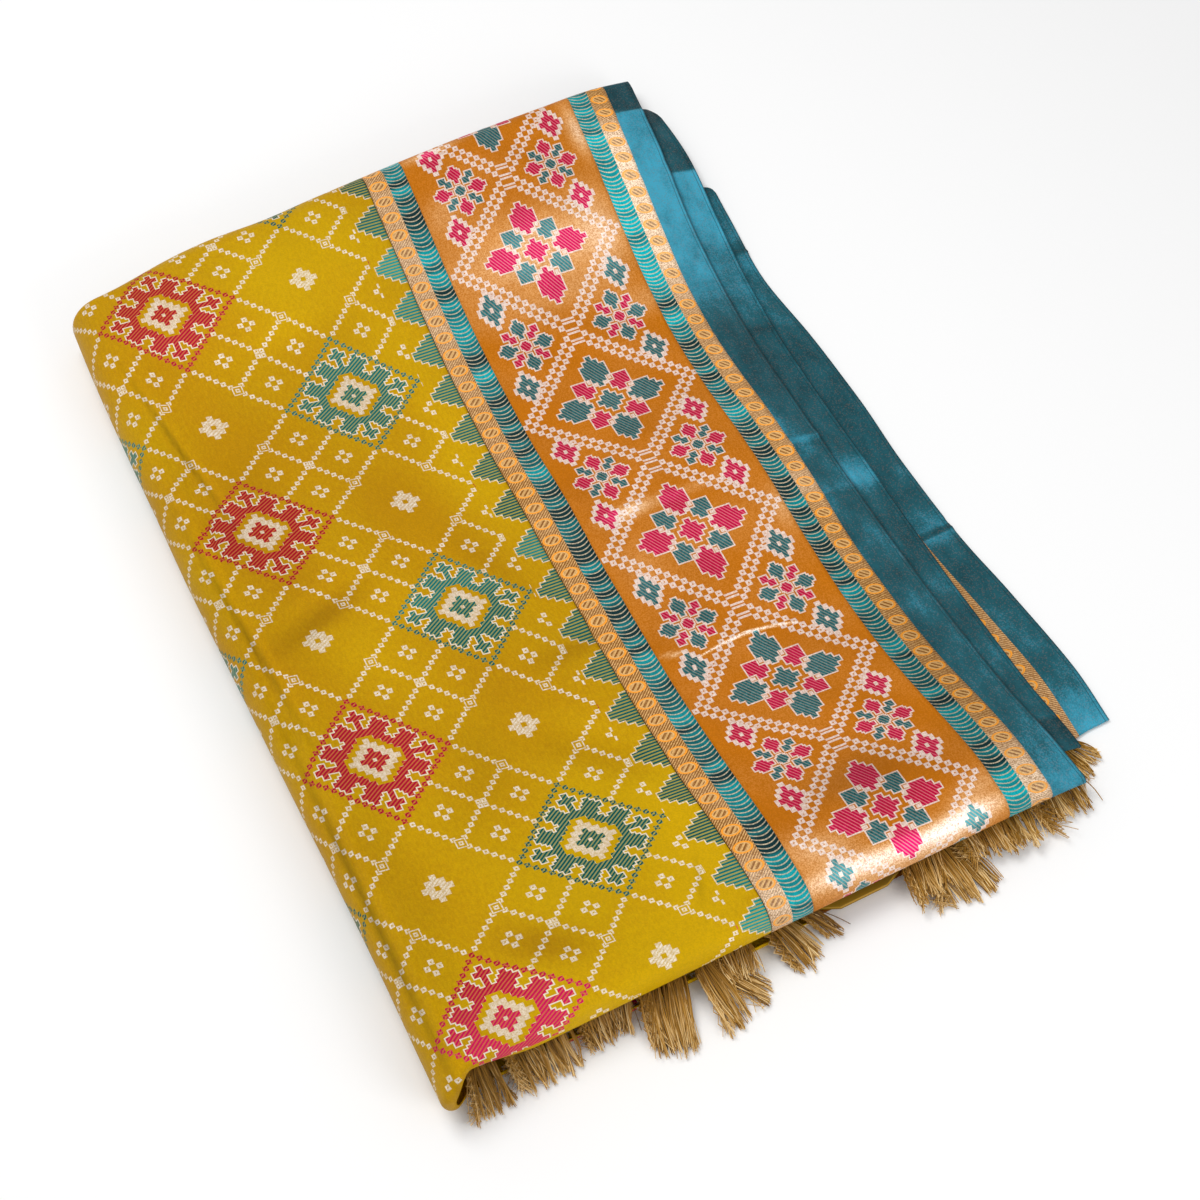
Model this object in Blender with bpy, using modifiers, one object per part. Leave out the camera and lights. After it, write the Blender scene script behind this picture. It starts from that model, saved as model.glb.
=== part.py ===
"""A folded silk sari: a parcel of woven cloth with a brocade border, plain selvedges and a tasselled end.

Millimetres are turned into metres by MM. X runs across the parcel from the folded side to the selvedges,
Y along it from the tasselled end to the far end, and Z up from the surface that it rests on.
"""
import bpy
import bmesh
import math
from mathutils import Vector

MM = 0.001

# Cloth
WALL = 1.6
GAP = 0.35
FLOOR = 0.0

# Plan of the parcel: its middle lies this far from the line where the inner gold strip starts
CENTRE_ACROSS = 3.535
CENTRE_ALONG = 25.849
NEAR_END = -173.0
FAR_END = 244.6

# The folded side
TURN_REACH = 15.0
SIDE_NEAR_END = -179.6
SIDE_END_FROM, SIDE_END_TO = -158.0, -142.0
SIDE_ROLL_SOFT = 30.0
UNDER_SEAM = 12.0

# Sections across the parcel, one row for each place along it: where each woven line lies
SECTION_COLUMNS = ("along", "fold", "strip", "band", "band_end", "selvedge", "edge", "middle_edge", "lowest_edge")
SECTIONS = (
    (-173.0, -157.6, -11.2, 7.3, 97.8, 118.8, 137.6, 146.6, 165.0),
    (-150.0, -157.4, -12.2, 7.6, 97.2, 117.0, 134.9, 145.6, 165.8),
    (-120.0, -157.0, -13.8, 6.3, 94.2, 113.6, 130.3, 142.0, 166.0),
    (-80.0, -157.2, -15.7, 3.6, 90.0, 110.2, 126.6, 139.7, 161.3),
    (-40.0, -157.8, -16.9, 1.5, 87.3, 107.6, 124.1, 138.0, 156.0),
    (0.0, -158.3, -17.3, 0.6, 86.9, 106.3, 123.2, 137.2, 153.6),
    (40.0, -158.8, -17.1, 1.2, 88.1, 106.2, 122.2, 136.2, 153.4),
    (80.0, -159.2, -16.5, 2.5, 90.4, 107.2, 121.6, 135.8, 151.2),
    (120.0, -158.6, -15.0, 4.7, 92.8, 109.4, 123.8, 138.2, 147.6),
    (160.0, -158.3, -12.2, 7.6, 95.2, 112.6, 128.6, 143.2, 150.6),
    (200.0, -157.4, -8.0, 11.3, 98.8, 117.2, 135.8, 148.4, 153.6),
    (244.6, -155.0, -2.5, 17.8, 103.9, 123.4, 141.6, 147.0, 154.0),
)

# Height of the top of the parcel at each woven line
HEIGHT_COLUMNS = ("line", "height")
HEIGHTS = (
    ("turn", 31.0),
    ("strip", 28.6),
    ("band", 28.0),
    ("band_end", 23.0),
    ("selvedge", 18.6),
    ("edge", 13.0),
)
MIDDLE_EDGE_HEIGHT = 7.2
LOWEST_EDGE_HEIGHT = WALL

# Broad soft swells and hollows of the top cloth
SWELL_COLUMNS = ("across", "along", "reach_across", "reach_along", "lift")
SWELLS = (
    (-120.0, 205.0, 60.0, 34.0, 2.6),
    (-60.0, 90.0, 55.0, 60.0, -1.3),
    (-128.0, -20.0, 26.0, 110.0, 1.5),
    (-20.0, -120.0, 60.0, 40.0, 1.0),
    (60.0, 30.0, 34.0, 80.0, -1.2),
    (52.0, 215.0, 40.0, 24.0, 1.4),
)

# How far the far end stands in from FAR_END, from the folded side to the selvedge
FAR_COLUMNS = ("across", "inset")
FAR_LINE = (
    (-158.0, 15.5),
    (-136.0, 15.0),
    (-110.0, 7.6),
    (-83.0, 3.8),
    (-54.0, 3.6),
    (-29.0, 1.8),
    (17.0, -0.4),
    (52.0, -1.6),
    (104.0, -2.6),
    (141.0, -5.4),
)

# How the ends of the outer cloth roll over
NEAR_TUCK_HEIGHT = 10.4
FAR_TUCK_HEIGHT = 15.0
SMALLEST_ROLL = 2.6
SIDE_ROLL = 3.4
UNDER_ROLL = 2.5
ROLL_END = math.radians(130.0)
ROLL_STEPS = 5

# Ends of the middle and lowest selvedge layers
MIDDLE_NEAR, MIDDLE_FAR = -157.0, 231.0
LOWEST_NEAR, LOWEST_FAR = -150.0, 181.0
HIDDEN_NEAR, HIDDEN_FAR = -171.0, 238.0
MIDDLE_LAP = 5.0
LOWEST_SHORT_FROM, LOWEST_SHORT_TO = 0.45, 0.95

# Hidden folds inside the parcel, which the tassels stand against
CORE_NEAR = -164.05
CORE_SIDE_NEAR = -152.0
CORE_SIDE_FROM, CORE_SIDE_TO = -150.0, -144.0
CORE_RIGHT_FROM, CORE_RIGHT_TO = 96.0, 120.0
CORE_ENDS_SOFT = 24.0
CORE_MIDDLE_INSET = 4.0
CORE_SIDE_FAR, CORE_TOP_FAR = 10.0, 5.0
CORE_RIGHT_FAR_INSET = 6.0
CORE_FAR_RIGHT_FROM, CORE_FAR_RIGHT_SOFT = 104.0, 12.0
CORE_TOP_START, CORE_TOP_STOP = 6.0, 12.0
CORE_LIP = -167.5
CORE_LIP_BULGE = 0.8
SLIVER_LIP = -172.4
SLIVER_FROM, SLIVER_TO = 13.0, 54.0
SLIVER_SOFT = 6.0
CORE_LIP_TOP = 4.2
CORE_STEPS_ACROSS = 22
CORE_STEPS_ALONG = 10
CORE_NEAR_POINTS = 6
CORE_WANDER, CORE_WANDER_LONG = 0.7, 40.0
CORE_UNEVEN = 0.15
CORE_UNEVEN_WIDE, CORE_UNEVEN_LONG = 17.0, 29.0
CORE_SHOULDER_SHARE = 0.55
CORE_FOLDS = 3
CORE_FOLD_BULGE = 1.6
CORE_FOLD_BACK, CORE_FOLD_FRONT = -1.4, -0.2
CORE_TURN_SHARES = (0.93, 0.8, 0.6, 0.35, 0.12)
CORE_FLAT_END = 98.0
CORE_EDGE_PLACES = (101.0, 106.0, 112.0, 118.0, 124.0, 129.0, 134.0)

# Levels that the tassels come out on: the front and height of the root strip, where the strands
# bend, and how far they have sunk there
LEVEL_COLUMNS = ("level", "front", "height", "bend_line", "bend_drop")
LEVELS = (
    ("upper", -166.4, 8.3, -174.2, 0.4),
    ("lower", -166.4, 6.2, -174.2, 0.4),
    ("selvedge", -153.6, 2.55, -158.0, 0.2),
)

# Tassels: where their roots and tips start and end across, how far the tips reach, the strands,
# the level they come out on, and how far the tips stay off the surface
TASSEL_COLUMNS = ("name", "root_from", "root_to", "tip_from", "tip_to", "reach_from", "reach_to",
                  "strands", "level", "tip_lift")
TASSELS = (
    ("corner", -143.0, -131.5, -148.0, -129.5, -186.0, -183.0, 12, "upper", 0.0),
    ("long_left", -128.5, -101.0, -127.0, -100.0, -182.0, -182.5, 24, "upper", 0.0),
    ("short_left", -97.0, -71.5, -96.0, -75.5, -178.5, -178.5, 18, "upper", 0.0),
    ("full", -68.0, -47.5, -71.5, -54.0, -190.0, -197.0, 20, "upper", 0.0),
    ("swept", -45.0, -38.5, -43.0, -33.0, -198.0, -194.0, 8, "upper", 0.0),
    ("tuft", -46.0, -39.5, -26.0, -19.5, -193.5, -187.0, 6, "lower", 0.0),
    ("comb", -36.0, -19.5, -37.0, -21.5, -178.0, -181.5, 14, "upper", 4.2),
    ("loose", -12.5, -3.0, -6.5, 7.5, -188.5, -184.0, 9, "upper", 0.0),
    ("loose_side", 0.5, 4.5, 11.5, 18.5, -181.5, -180.0, 5, "upper", 0.6),
    ("thick", 51.0, 70.5, 49.5, 66.5, -187.0, -183.5, 16, "upper", 4.2),
    ("under_thick", 59.0, 76.0, 57.0, 86.0, -190.5, -193.5, 15, "lower", 0.0),
    ("band_comb", 73.5, 109.0, 76.0, 109.0, -179.0, -184.0, 28, "upper", 4.4),
    ("selvedge_comb", 112.0, 134.5, 113.5, 137.5, -181.5, -178.0, 18, "upper", 1.6),
    ("fold_tuft", 136.5, 145.5, 141.0, 155.0, -170.0, -160.0, 9, "selvedge", 0.0),
)
STRIP_DEEP = 2.0
STRIP_HIGH = 1.1
STRAND_WIDTH = 1.0
TIP_HEIGHTS = (1.1, 2.3)
TIP_SHARE = 0.4
TIP_UNEVEN = 1.5

# Colours and roughness
FINISHES = {
    "field_silk": ((0.58, 0.40, 0.02), 0.45),
    "border_brocade": ((0.68, 0.30, 0.03), 0.38),
    "selvedge_silk": ((0.02, 0.15, 0.24), 0.42),
    "tassel_thread": ((0.42, 0.27, 0.08), 0.55),
}


def named_rows(columns, rows):
    return [dict(zip(columns, row)) for row in rows]


def blend(low, high, share):
    return low + (high - low) * share


def ease(share):
    """0 to 1 with a soft start and a soft end."""
    share = min(1.0, max(0.0, share))
    return share * share * (3.0 - 2.0 * share)


def through_rows(rows, key, column, place):
    """The column's value at a place between the rows, on a smooth curve."""
    last = len(rows) - 1
    if place <= rows[0][key]:
        return rows[0][column]
    if place >= rows[last][key]:
        return rows[last][column]
    after = next(i for i in range(1, last + 1) if place <= rows[i][key])
    before = after - 1
    span = rows[after][key] - rows[before][key]
    t = (place - rows[before][key]) / span

    def slope(i):
        low, high = max(0, i - 1), min(last, i + 1)
        return (rows[high][column] - rows[low][column]) / (rows[high][key] - rows[low][key])

    start, end = rows[before][column], rows[after][column]
    return ((2 * t**3 - 3 * t**2 + 1) * start + (t**3 - 2 * t**2 + t) * span * slope(before)
            + (3 * t**2 - 2 * t**3) * end + (t**3 - t**2) * span * slope(after))


SECTION_ROWS = named_rows(SECTION_COLUMNS, SECTIONS)
SWELL_ROWS = named_rows(SWELL_COLUMNS, SWELLS)
FAR_ROWS = named_rows(FAR_COLUMNS, FAR_LINE)
TASSEL_ROWS = named_rows(TASSEL_COLUMNS, TASSELS)
LEVEL_ROWS = {row["level"]: row for row in named_rows(LEVEL_COLUMNS, LEVELS)}


def line_at(name, along):
    """How far across the parcel a woven line lies at a place along it."""
    if name == "turn":
        return line_at("fold", along) + TURN_REACH
    return through_rows(SECTION_ROWS, "along", name, along)


def top_height(across, along):
    """Height of the outer cloth, from the turn of the fold to the selvedge's edge."""
    rows = [{"place": line_at(line, along), "height": height} for line, height in HEIGHTS]
    height = through_rows(rows, "place", "height", across)
    for swell in SWELL_ROWS:
        away = math.hypot((across - swell["across"]) / swell["reach_across"],
                          (along - swell["along"]) / swell["reach_along"])
        height += swell["lift"] * math.exp(-away * away)
    return height


def far_end(across):
    return FAR_END - through_rows(FAR_ROWS, "across", "inset", across)


def near_end(across):
    """The folded side stands a little past the near end."""
    return blend(SIDE_NEAR_END, NEAR_END, ease((across - SIDE_END_FROM) / (SIDE_END_TO - SIDE_END_FROM)))


class Section:
    """A point of the outer cloth's section: its place, which way is out, and how tightly its ends roll."""

    def __init__(self, across, height, out, near_roll, far_roll):
        self.across = across
        self.height = height
        self.out = out
        self.near_roll = near_roll
        self.far_roll = far_roll


def top_section(across, along):
    height = top_height(across, along)
    sinking = 1.0 - math.cos(ROLL_END)
    near_roll = max(SMALLEST_ROLL, (height - NEAR_TUCK_HEIGHT) / sinking)
    far_roll = max(SMALLEST_ROLL, (height - FAR_TUCK_HEIGHT) / sinking)
    side = ease((across - line_at("turn", along)) / SIDE_ROLL_SOFT)
    return Section(across, height, (0.0, 1.0),
                   blend(SIDE_ROLL, near_roll, side), blend(SIDE_ROLL, far_roll, side))


def turn_section(turned, along):
    """On the folded side: turned is 0 under the parcel and 1 on top of it."""
    shoulder = line_at("turn", along)
    top = top_height(shoulder, along)
    middle = top / 2.0
    angle = math.pi * turned
    across = shoulder - TURN_REACH * math.sin(angle)
    height = middle - middle * math.cos(angle)
    out = Vector((-middle * math.sin(angle), -TURN_REACH * math.cos(angle))).normalized()
    roll = blend(UNDER_ROLL, SIDE_ROLL, ease(turned * 2.0))
    return Section(across, height, out, roll, roll)


def under_section(across):
    return Section(across, FLOOR, (0.0, -1.0), UNDER_ROLL, UNDER_ROLL)


def rolled_point(section_at, row):
    """A point of the outer cloth: rows at the ends roll over the edge, the rest lie along the parcel."""
    end, share = row
    flat = 0.5 if end == "flat" else (0.0 if end == "near" else 1.0)
    flat = share if end == "flat" else flat
    guess = section_at(blend(NEAR_END, FAR_END, flat))
    start = near_end(guess.across) + guess.near_roll
    stop = far_end(guess.across) - guess.far_roll
    along = blend(start, stop, flat)
    here = section_at(along)
    if end == "flat":
        return Vector((here.across, along, here.height))
    roll = here.near_roll if end == "near" else here.far_roll
    away = -1.0 if end == "near" else 1.0
    angle = ROLL_END * share
    sunk = roll * (1.0 - math.cos(angle))
    return Vector((here.across - here.out[0] * sunk,
                   along + away * roll * math.sin(angle),
                   here.height - here.out[1] * sunk))


def end_to_end_rows(flat_rows):
    near = [("near", 1.0 - i / ROLL_STEPS) for i in range(ROLL_STEPS)]
    flat = [("flat", i / flat_rows) for i in range(flat_rows + 1)]
    far = [("far", (i + 1) / ROLL_STEPS) for i in range(ROLL_STEPS)]
    return near + flat + far


FLAT_ROWS = 13


def finish_material(slot):
    if slot in bpy.data.materials:
        return bpy.data.materials[slot]
    colour, roughness = FINISHES[slot]
    material = bpy.data.materials.new(slot)
    material.use_nodes = True
    shader = material.node_tree.nodes["Principled BSDF"]
    shader.inputs["Base Color"].default_value = (*colour, 1.0)
    shader.inputs["Roughness"].default_value = roughness
    shader.inputs["Metallic"].default_value = 0.0
    return material


def add_object(name, mesh, slot):
    """Make the shape's object, in metres and about the parcel's own middle."""
    for vertex in mesh.verts:
        vertex.co = (vertex.co - Vector((CENTRE_ACROSS, CENTRE_ALONG, 0.0))) * MM
    data = bpy.data.meshes.new(name)
    mesh.to_mesh(data)
    mesh.free()
    data.materials.append(finish_material(slot))
    thing = bpy.data.objects.new(name, data)
    bpy.data.collections["Sari"].objects.link(thing)
    return thing


def woven_sheet(name, columns, rows, place, slot):
    """A cloth wall on a grid of columns across and rows along, thickened away from its outer face."""
    mesh = bmesh.new()
    bmesh.ops.create_grid(mesh, x_segments=len(columns) - 1, y_segments=len(rows) - 1, size=1.0)
    for vertex in mesh.verts:
        column = columns[round((vertex.co.x + 1.0) / 2.0 * (len(columns) - 1))]
        row = rows[round((vertex.co.y + 1.0) / 2.0 * (len(rows) - 1))]
        vertex.co = place(column, row)
    sheet = add_object(name, mesh, slot)
    wall = sheet.modifiers.new("Wall", "SOLIDIFY")
    wall.thickness = WALL * MM
    wall.offset = -1.0
    wall.use_even_offset = True
    wall.use_quality_normals = True
    sheet.data.shade_smooth()
    return sheet


def build_field_cloth():
    """The yellow body cloth: under the parcel, round the folded side and over the top."""
    columns = [("under", i / 5) for i in range(5)]
    columns += [("turn", i / 10) for i in range(11)]
    columns += [("top", (i + 1) / 8) for i in range(8)]

    def place(column, row):
        part, share = column

        def section_at(along):
            if part == "under":
                return under_section(blend(UNDER_SEAM - GAP, line_at("turn", along), share))
            if part == "turn":
                return turn_section(share, along)
            return top_section(blend(line_at("turn", along), line_at("strip", along) - GAP, share), along)

        return rolled_point(section_at, row)

    woven_sheet("field_cloth", columns, end_to_end_rows(FLAT_ROWS), place, "field_silk")


def build_top_strip(name, first_line, last_line, steps, slot, margin):
    """A stretch of the outer cloth between two of its woven lines."""
    def place(share, row):
        def section_at(along):
            return top_section(blend(line_at(first_line, along), line_at(last_line, along) - margin, share), along)
        return rolled_point(section_at, row)

    woven_sheet(name, [i / steps for i in range(steps + 1)], end_to_end_rows(FLAT_ROWS), place, slot)


def middle_height(across, along):
    """The middle selvedge lies against the cloth above it, then falls to its own edge."""
    edge = line_at("edge", along)
    if across <= edge:
        return top_height(across, along) - WALL - GAP
    start = top_height(edge, along) - WALL - GAP
    share = (across - edge) / (line_at("middle_edge", along) - edge)
    return blend(start, MIDDLE_EDGE_HEIGHT, ease(share))


def middle_start(along):
    return line_at("selvedge", along) - MIDDLE_LAP


def build_middle_selvedge():
    def place(share, row):
        along = blend(MIDDLE_NEAR, MIDDLE_FAR, row)
        across = blend(middle_start(along), line_at("middle_edge", along), share)
        return Vector((across, along, middle_height(across, along)))

    woven_sheet("selvedge_middle", [i / 7 for i in range(8)], [i / 14 for i in range(15)], place, "selvedge_silk")


def build_lowest_border():
    """The border of the cloth under the parcel, whose selvedge shows furthest out."""
    def place(share, row):
        out = ease((share - LOWEST_SHORT_FROM) / (LOWEST_SHORT_TO - LOWEST_SHORT_FROM))
        start = blend(HIDDEN_NEAR, LOWEST_NEAR, out)
        stop = blend(HIDDEN_FAR, LOWEST_FAR, out)
        along = blend(start, stop, row)
        across = blend(UNDER_SEAM, line_at("lowest_edge", along), share)
        return Vector((across, along, LOWEST_EDGE_HEIGHT))

    woven_sheet("border_lowest", [i / 9 for i in range(10)], [i / 14 for i in range(15)], place, "border_brocade")


def core_reach(column, along):
    """How far across the parcel one of the core's sections lies, as it follows the fold's line."""
    part, share = column
    shoulder = line_at("turn", along)
    if part == "turn":
        return shoulder - (TURN_REACH - WALL - GAP) * share
    if part == "flat":
        return blend(shoulder, CORE_FLAT_END, share)
    return share + CORE_WANDER * math.sin(along / CORE_WANDER_LONG)


def core_half(share):
    """Half the core's height on the turn, as a share of its height beside it."""
    return math.sqrt(1.0 - share * share)


def core_span(column, along):
    """The core's underside and top at one of its sections: it fills the space up to the cloth on it."""
    part, share = column
    across = core_reach(column, along)
    if part == "turn":
        middle = top_height(line_at("turn", along), along) / 2.0
        half = (middle - WALL - GAP) * core_half(share)
        return middle - half, middle + half
    uneven = math.sin(across / CORE_UNEVEN_WIDE) * math.sin(along / CORE_UNEVEN_LONG)
    low = FLOOR + WALL + GAP + CORE_UNEVEN * (1.0 + uneven)
    if part == "flat":
        return low, top_height(across, along) - WALL - 2 * GAP
    return low, middle_height(across, along) - WALL - 2 * GAP


def core_ring(column):
    """The hidden folds' outline at one section: near end, top, layered far end and underside."""
    across = core_reach(column, 0.0)
    side = ease((across - line_at("turn", 0.0)) / CORE_ENDS_SOFT)
    right = ease((across - CORE_RIGHT_FROM) / (CORE_RIGHT_TO - CORE_RIGHT_FROM))
    inside = ease((across - CORE_SIDE_FROM) / (CORE_SIDE_TO - CORE_SIDE_FROM))
    near = blend(CORE_SIDE_NEAR, CORE_NEAR, inside)
    near = blend(near, MIDDLE_NEAR + CORE_MIDDLE_INSET, right)
    sliver = ease((across - SLIVER_FROM) / SLIVER_SOFT) * ease((SLIVER_TO - across) / SLIVER_SOFT)
    lip = blend(near - 0.4, blend(CORE_LIP, SLIVER_LIP, sliver), side * (1.0 - right))
    far = far_end(across) - blend(CORE_SIDE_FAR, CORE_TOP_FAR, side)
    far = blend(far, MIDDLE_FAR - CORE_RIGHT_FAR_INSET, ease((across - CORE_FAR_RIGHT_FROM) / CORE_FAR_RIGHT_SOFT))

    low, top = core_span(column, near)
    lip_top = min(CORE_LIP_TOP, blend(low, top, 0.4))
    ring = [(lip, low), (lip - CORE_LIP_BULGE, blend(low, lip_top, 0.5)), (lip, lip_top), (near, lip_top + 0.6)]
    ring += [(near, blend(lip_top, top, 0.75)), (near + 2.0, core_span(column, near + 2.0)[1] - 0.6)]

    flat = [blend(near + CORE_TOP_START, far - CORE_TOP_STOP, i / CORE_STEPS_ALONG)
            for i in range(CORE_STEPS_ALONG + 1)]
    ring += [(along, core_span(column, along)[1]) for along in flat]

    low, top = core_span(column, far)
    shoulder = blend(low, top, CORE_SHOULDER_SHARE)
    ring.append((far - 5.0, blend(shoulder, top, 0.9)))
    ring.append((far - 1.2, blend(shoulder, top, 0.55)))
    ring.append((far + CORE_FOLD_BACK, shoulder))
    depth = (shoulder - low) / CORE_FOLDS
    front = far + CORE_FOLD_FRONT + min(CORE_FOLD_BULGE, depth * 0.4)
    for i in range(CORE_FOLDS):
        height = shoulder - depth * i
        ring.append((front, height - depth * 0.35))
        ring.append((front, height - depth * 0.7))
        ring.append((far + CORE_FOLD_BACK, height - depth))
    ring += [(along, core_span(column, along)[0]) for along in reversed(flat)]
    return [Vector((core_reach(column, along), along, height)) for along, height in ring]


def close_core(ring):
    """The faces that close one side of the hidden folds: near end, pairs of top and underside, far end."""
    faces = [ring[:CORE_NEAR_POINTS + 1] + ring[-1:]]
    for i in range(CORE_STEPS_ALONG):
        top = CORE_NEAR_POINTS + i
        faces.append([ring[top], ring[top + 1], ring[-2 - i], ring[-1 - i]])
    faces.append(ring[CORE_NEAR_POINTS + CORE_STEPS_ALONG:len(ring) - CORE_STEPS_ALONG])
    return faces


def build_inner_folds():
    """The folds hidden inside, as one rounded solid with layered ends: a loft of unlike sections."""
    columns = [("turn", share) for share in CORE_TURN_SHARES]
    columns += [("flat", i / CORE_STEPS_ACROSS) for i in range(CORE_STEPS_ACROSS + 1)]
    columns += [("edge", across) for across in CORE_EDGE_PLACES]
    mesh = bmesh.new()
    rings = []
    for column in columns:
        rings.append([mesh.verts.new(point) for point in core_ring(column)])
    for left, right in zip(rings, rings[1:]):
        for i in range(len(left)):
            j = (i + 1) % len(left)
            mesh.faces.new((left[i], right[i], right[j], left[j]))
    for face in close_core(rings[0]):
        mesh.faces.new(face)
    for face in close_core(rings[-1]):
        mesh.faces.new(face[::-1])
    bmesh.ops.triangulate(mesh, faces=[face for face in mesh.faces if len(face.verts) > 4])
    add_object("inner_folds", mesh, "field_silk")


def build_tassel(row):
    """A narrow strip under the near end with a row of strands that fan out and sink to the floor."""
    count = row["strands"]
    level = LEVEL_ROWS[row["level"]]
    front = level["front"]
    width = row["root_to"] - row["root_from"]
    mesh = bmesh.new()
    bmesh.ops.create_grid(mesh, x_segments=count, y_segments=1, size=1.0)
    for vertex in mesh.verts:
        across = row["root_from"] + width * (vertex.co.x + 1.0) / 2.0
        vertex.co = Vector((across, front, level["height"] + STRIP_HIGH * vertex.co.y / 2.0))
    fronts = list(mesh.faces)
    backs = bmesh.ops.extrude_face_region(mesh, geom=fronts, use_keep_orig=True)
    moved = [item for item in backs["geom"] if isinstance(item, bmesh.types.BMVert)]
    bmesh.ops.translate(mesh, verts=moved, vec=(0.0, STRIP_DEEP, 0.0))
    fronts.sort(key=lambda face: face.calc_center_median().x)
    margin = (width / count - STRAND_WIDTH) / 2.0
    bmesh.ops.inset_individual(mesh, faces=fronts, thickness=max(0.06, min(margin, STRIP_HIGH * 0.3)))
    for i, face in enumerate(fronts):
        share = (i + 0.5) / count
        root = face.calc_center_median()
        reach = blend(row["reach_from"], row["reach_to"], share)
        across = blend(row["tip_from"], row["tip_to"], share)
        bend_share = (front - level["bend_line"]) / (front - reach)
        bend = Vector((blend(root.x, across, bend_share), level["bend_line"], level["height"] - level["bend_drop"]))
        tip = Vector((across, reach + TIP_UNEVEN * math.sin(2.4 * i), TIP_HEIGHTS[i % 2] + row["tip_lift"]))
        for point, shrink in ((bend, 0.9), (tip, TIP_SHARE)):
            face = bmesh.ops.extrude_discrete_faces(mesh, faces=[face])["faces"][0]
            centre = face.calc_center_median()
            for vertex in face.verts:
                vertex.co = point + (vertex.co - centre) * shrink
    bmesh.ops.recalc_face_normals(mesh, faces=mesh.faces)
    add_object("tassel_" + row["name"], mesh, "tassel_thread")


def clear_scene():
    for thing in list(bpy.data.objects):
        bpy.data.objects.remove(thing, do_unlink=True)
    bpy.context.scene.collection.children.link(bpy.data.collections.new("Sari"))


def main():
    clear_scene()
    build_field_cloth()
    build_top_strip("border_cloth", "strip", "selvedge", 10, "border_brocade", GAP)
    build_top_strip("selvedge_top", "selvedge", "edge", 3, "selvedge_silk", 0.0)
    build_middle_selvedge()
    build_lowest_border()
    build_inner_folds()
    for row in TASSEL_ROWS:
        build_tassel(row)


main()
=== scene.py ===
"""The looks of a folded silk saree: woven cloth and motifs, brocade border, selvedges and thread tassels.

Lengths are in millimetres until MM turns them into metres. X runs across the parcel from the folded side
to the selvedges, Y along it from the tasselled end, and Z up. Cloth places are u, across a woven stretch,
and v, along the warp.
"""

import bpy
import bmesh
import math
import random
import numpy as np
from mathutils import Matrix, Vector


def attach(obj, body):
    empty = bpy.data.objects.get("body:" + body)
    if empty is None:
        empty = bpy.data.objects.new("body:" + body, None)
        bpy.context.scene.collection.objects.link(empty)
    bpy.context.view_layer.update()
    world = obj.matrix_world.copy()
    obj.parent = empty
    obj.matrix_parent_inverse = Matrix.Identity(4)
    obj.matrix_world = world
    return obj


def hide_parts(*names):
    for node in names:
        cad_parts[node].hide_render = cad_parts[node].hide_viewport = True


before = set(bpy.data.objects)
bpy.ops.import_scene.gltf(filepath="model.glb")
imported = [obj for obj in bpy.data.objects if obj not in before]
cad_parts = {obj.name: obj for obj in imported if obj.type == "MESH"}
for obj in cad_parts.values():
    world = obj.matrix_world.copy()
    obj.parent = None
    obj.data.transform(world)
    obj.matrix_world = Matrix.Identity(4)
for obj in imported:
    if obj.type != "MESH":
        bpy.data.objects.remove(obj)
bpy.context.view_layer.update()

MM = 0.001

# The parcel's shape, as on the solids
WALL = 1.6
GAP = 0.35
CENTRE_ACROSS = 3.535
CENTRE_ALONG = 25.849
NEAR_END = -173.0
FAR_END = 244.6
TURN_REACH = 15.0
SIDE_NEAR_END = -179.6
SIDE_END_FROM = -158.0
SIDE_END_TO = -142.0
SIDE_ROLL_SOFT = 30.0
UNDER_SEAM = 12.0

# Where the fold, the woven lines and the layers' edges lie across the parcel, at places along it
SECTION_COLUMNS = (
    "along", "fold", "strip", "band", "band_end", "selvedge", "edge", "middle_edge", "lowest_edge",
)
SECTIONS = (
    (-173.0, -157.6, -11.2, 7.3, 97.8, 118.8, 137.6, 146.6, 165.0),
    (-150.0, -157.4, -12.2, 7.6, 97.2, 117.0, 134.9, 145.6, 165.8),
    (-120.0, -157.0, -13.8, 6.3, 94.2, 113.6, 130.3, 142.0, 166.0),
    (-80.0, -157.2, -15.7, 3.6, 90.0, 110.2, 126.6, 139.7, 161.3),
    (-40.0, -157.8, -16.9, 1.5, 87.3, 107.6, 124.1, 138.0, 156.0),
    (0.0, -158.3, -17.3, 0.6, 86.9, 106.3, 123.2, 137.2, 153.6),
    (40.0, -158.8, -17.1, 1.2, 88.1, 106.2, 122.2, 136.2, 153.4),
    (80.0, -159.2, -16.5, 2.5, 90.4, 107.2, 121.6, 135.8, 151.2),
    (120.0, -158.6, -15.0, 4.7, 92.8, 109.4, 123.8, 138.2, 147.6),
    (160.0, -158.3, -12.2, 7.6, 95.2, 112.6, 128.6, 143.2, 150.6),
    (200.0, -157.4, -8.0, 11.3, 98.8, 117.2, 135.8, 148.4, 153.6),
    (244.6, -155.0, -2.5, 17.8, 103.9, 123.4, 141.6, 147.0, 154.0),
)
HEIGHTS = (
    ("turn", 31.0),
    ("strip", 28.6),
    ("band", 28.0),
    ("band_end", 23.0),
    ("selvedge", 18.6),
    ("edge", 13.0),
)
MIDDLE_EDGE_HEIGHT = 7.2
# Soft swells of the top cloth: a swell's middle, its half width and half length, and its lift
SWELLS = (
    (-120.0, 205.0, 60.0, 34.0, 2.6),
    (-60.0, 90.0, 55.0, 60.0, -1.3),
    (-128.0, -20.0, 26.0, 110.0, 1.5),
    (-20.0, -120.0, 60.0, 40.0, 1.0),
    (60.0, 30.0, 34.0, 80.0, -1.2),
    (52.0, 215.0, 40.0, 24.0, 1.4),
)
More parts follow.
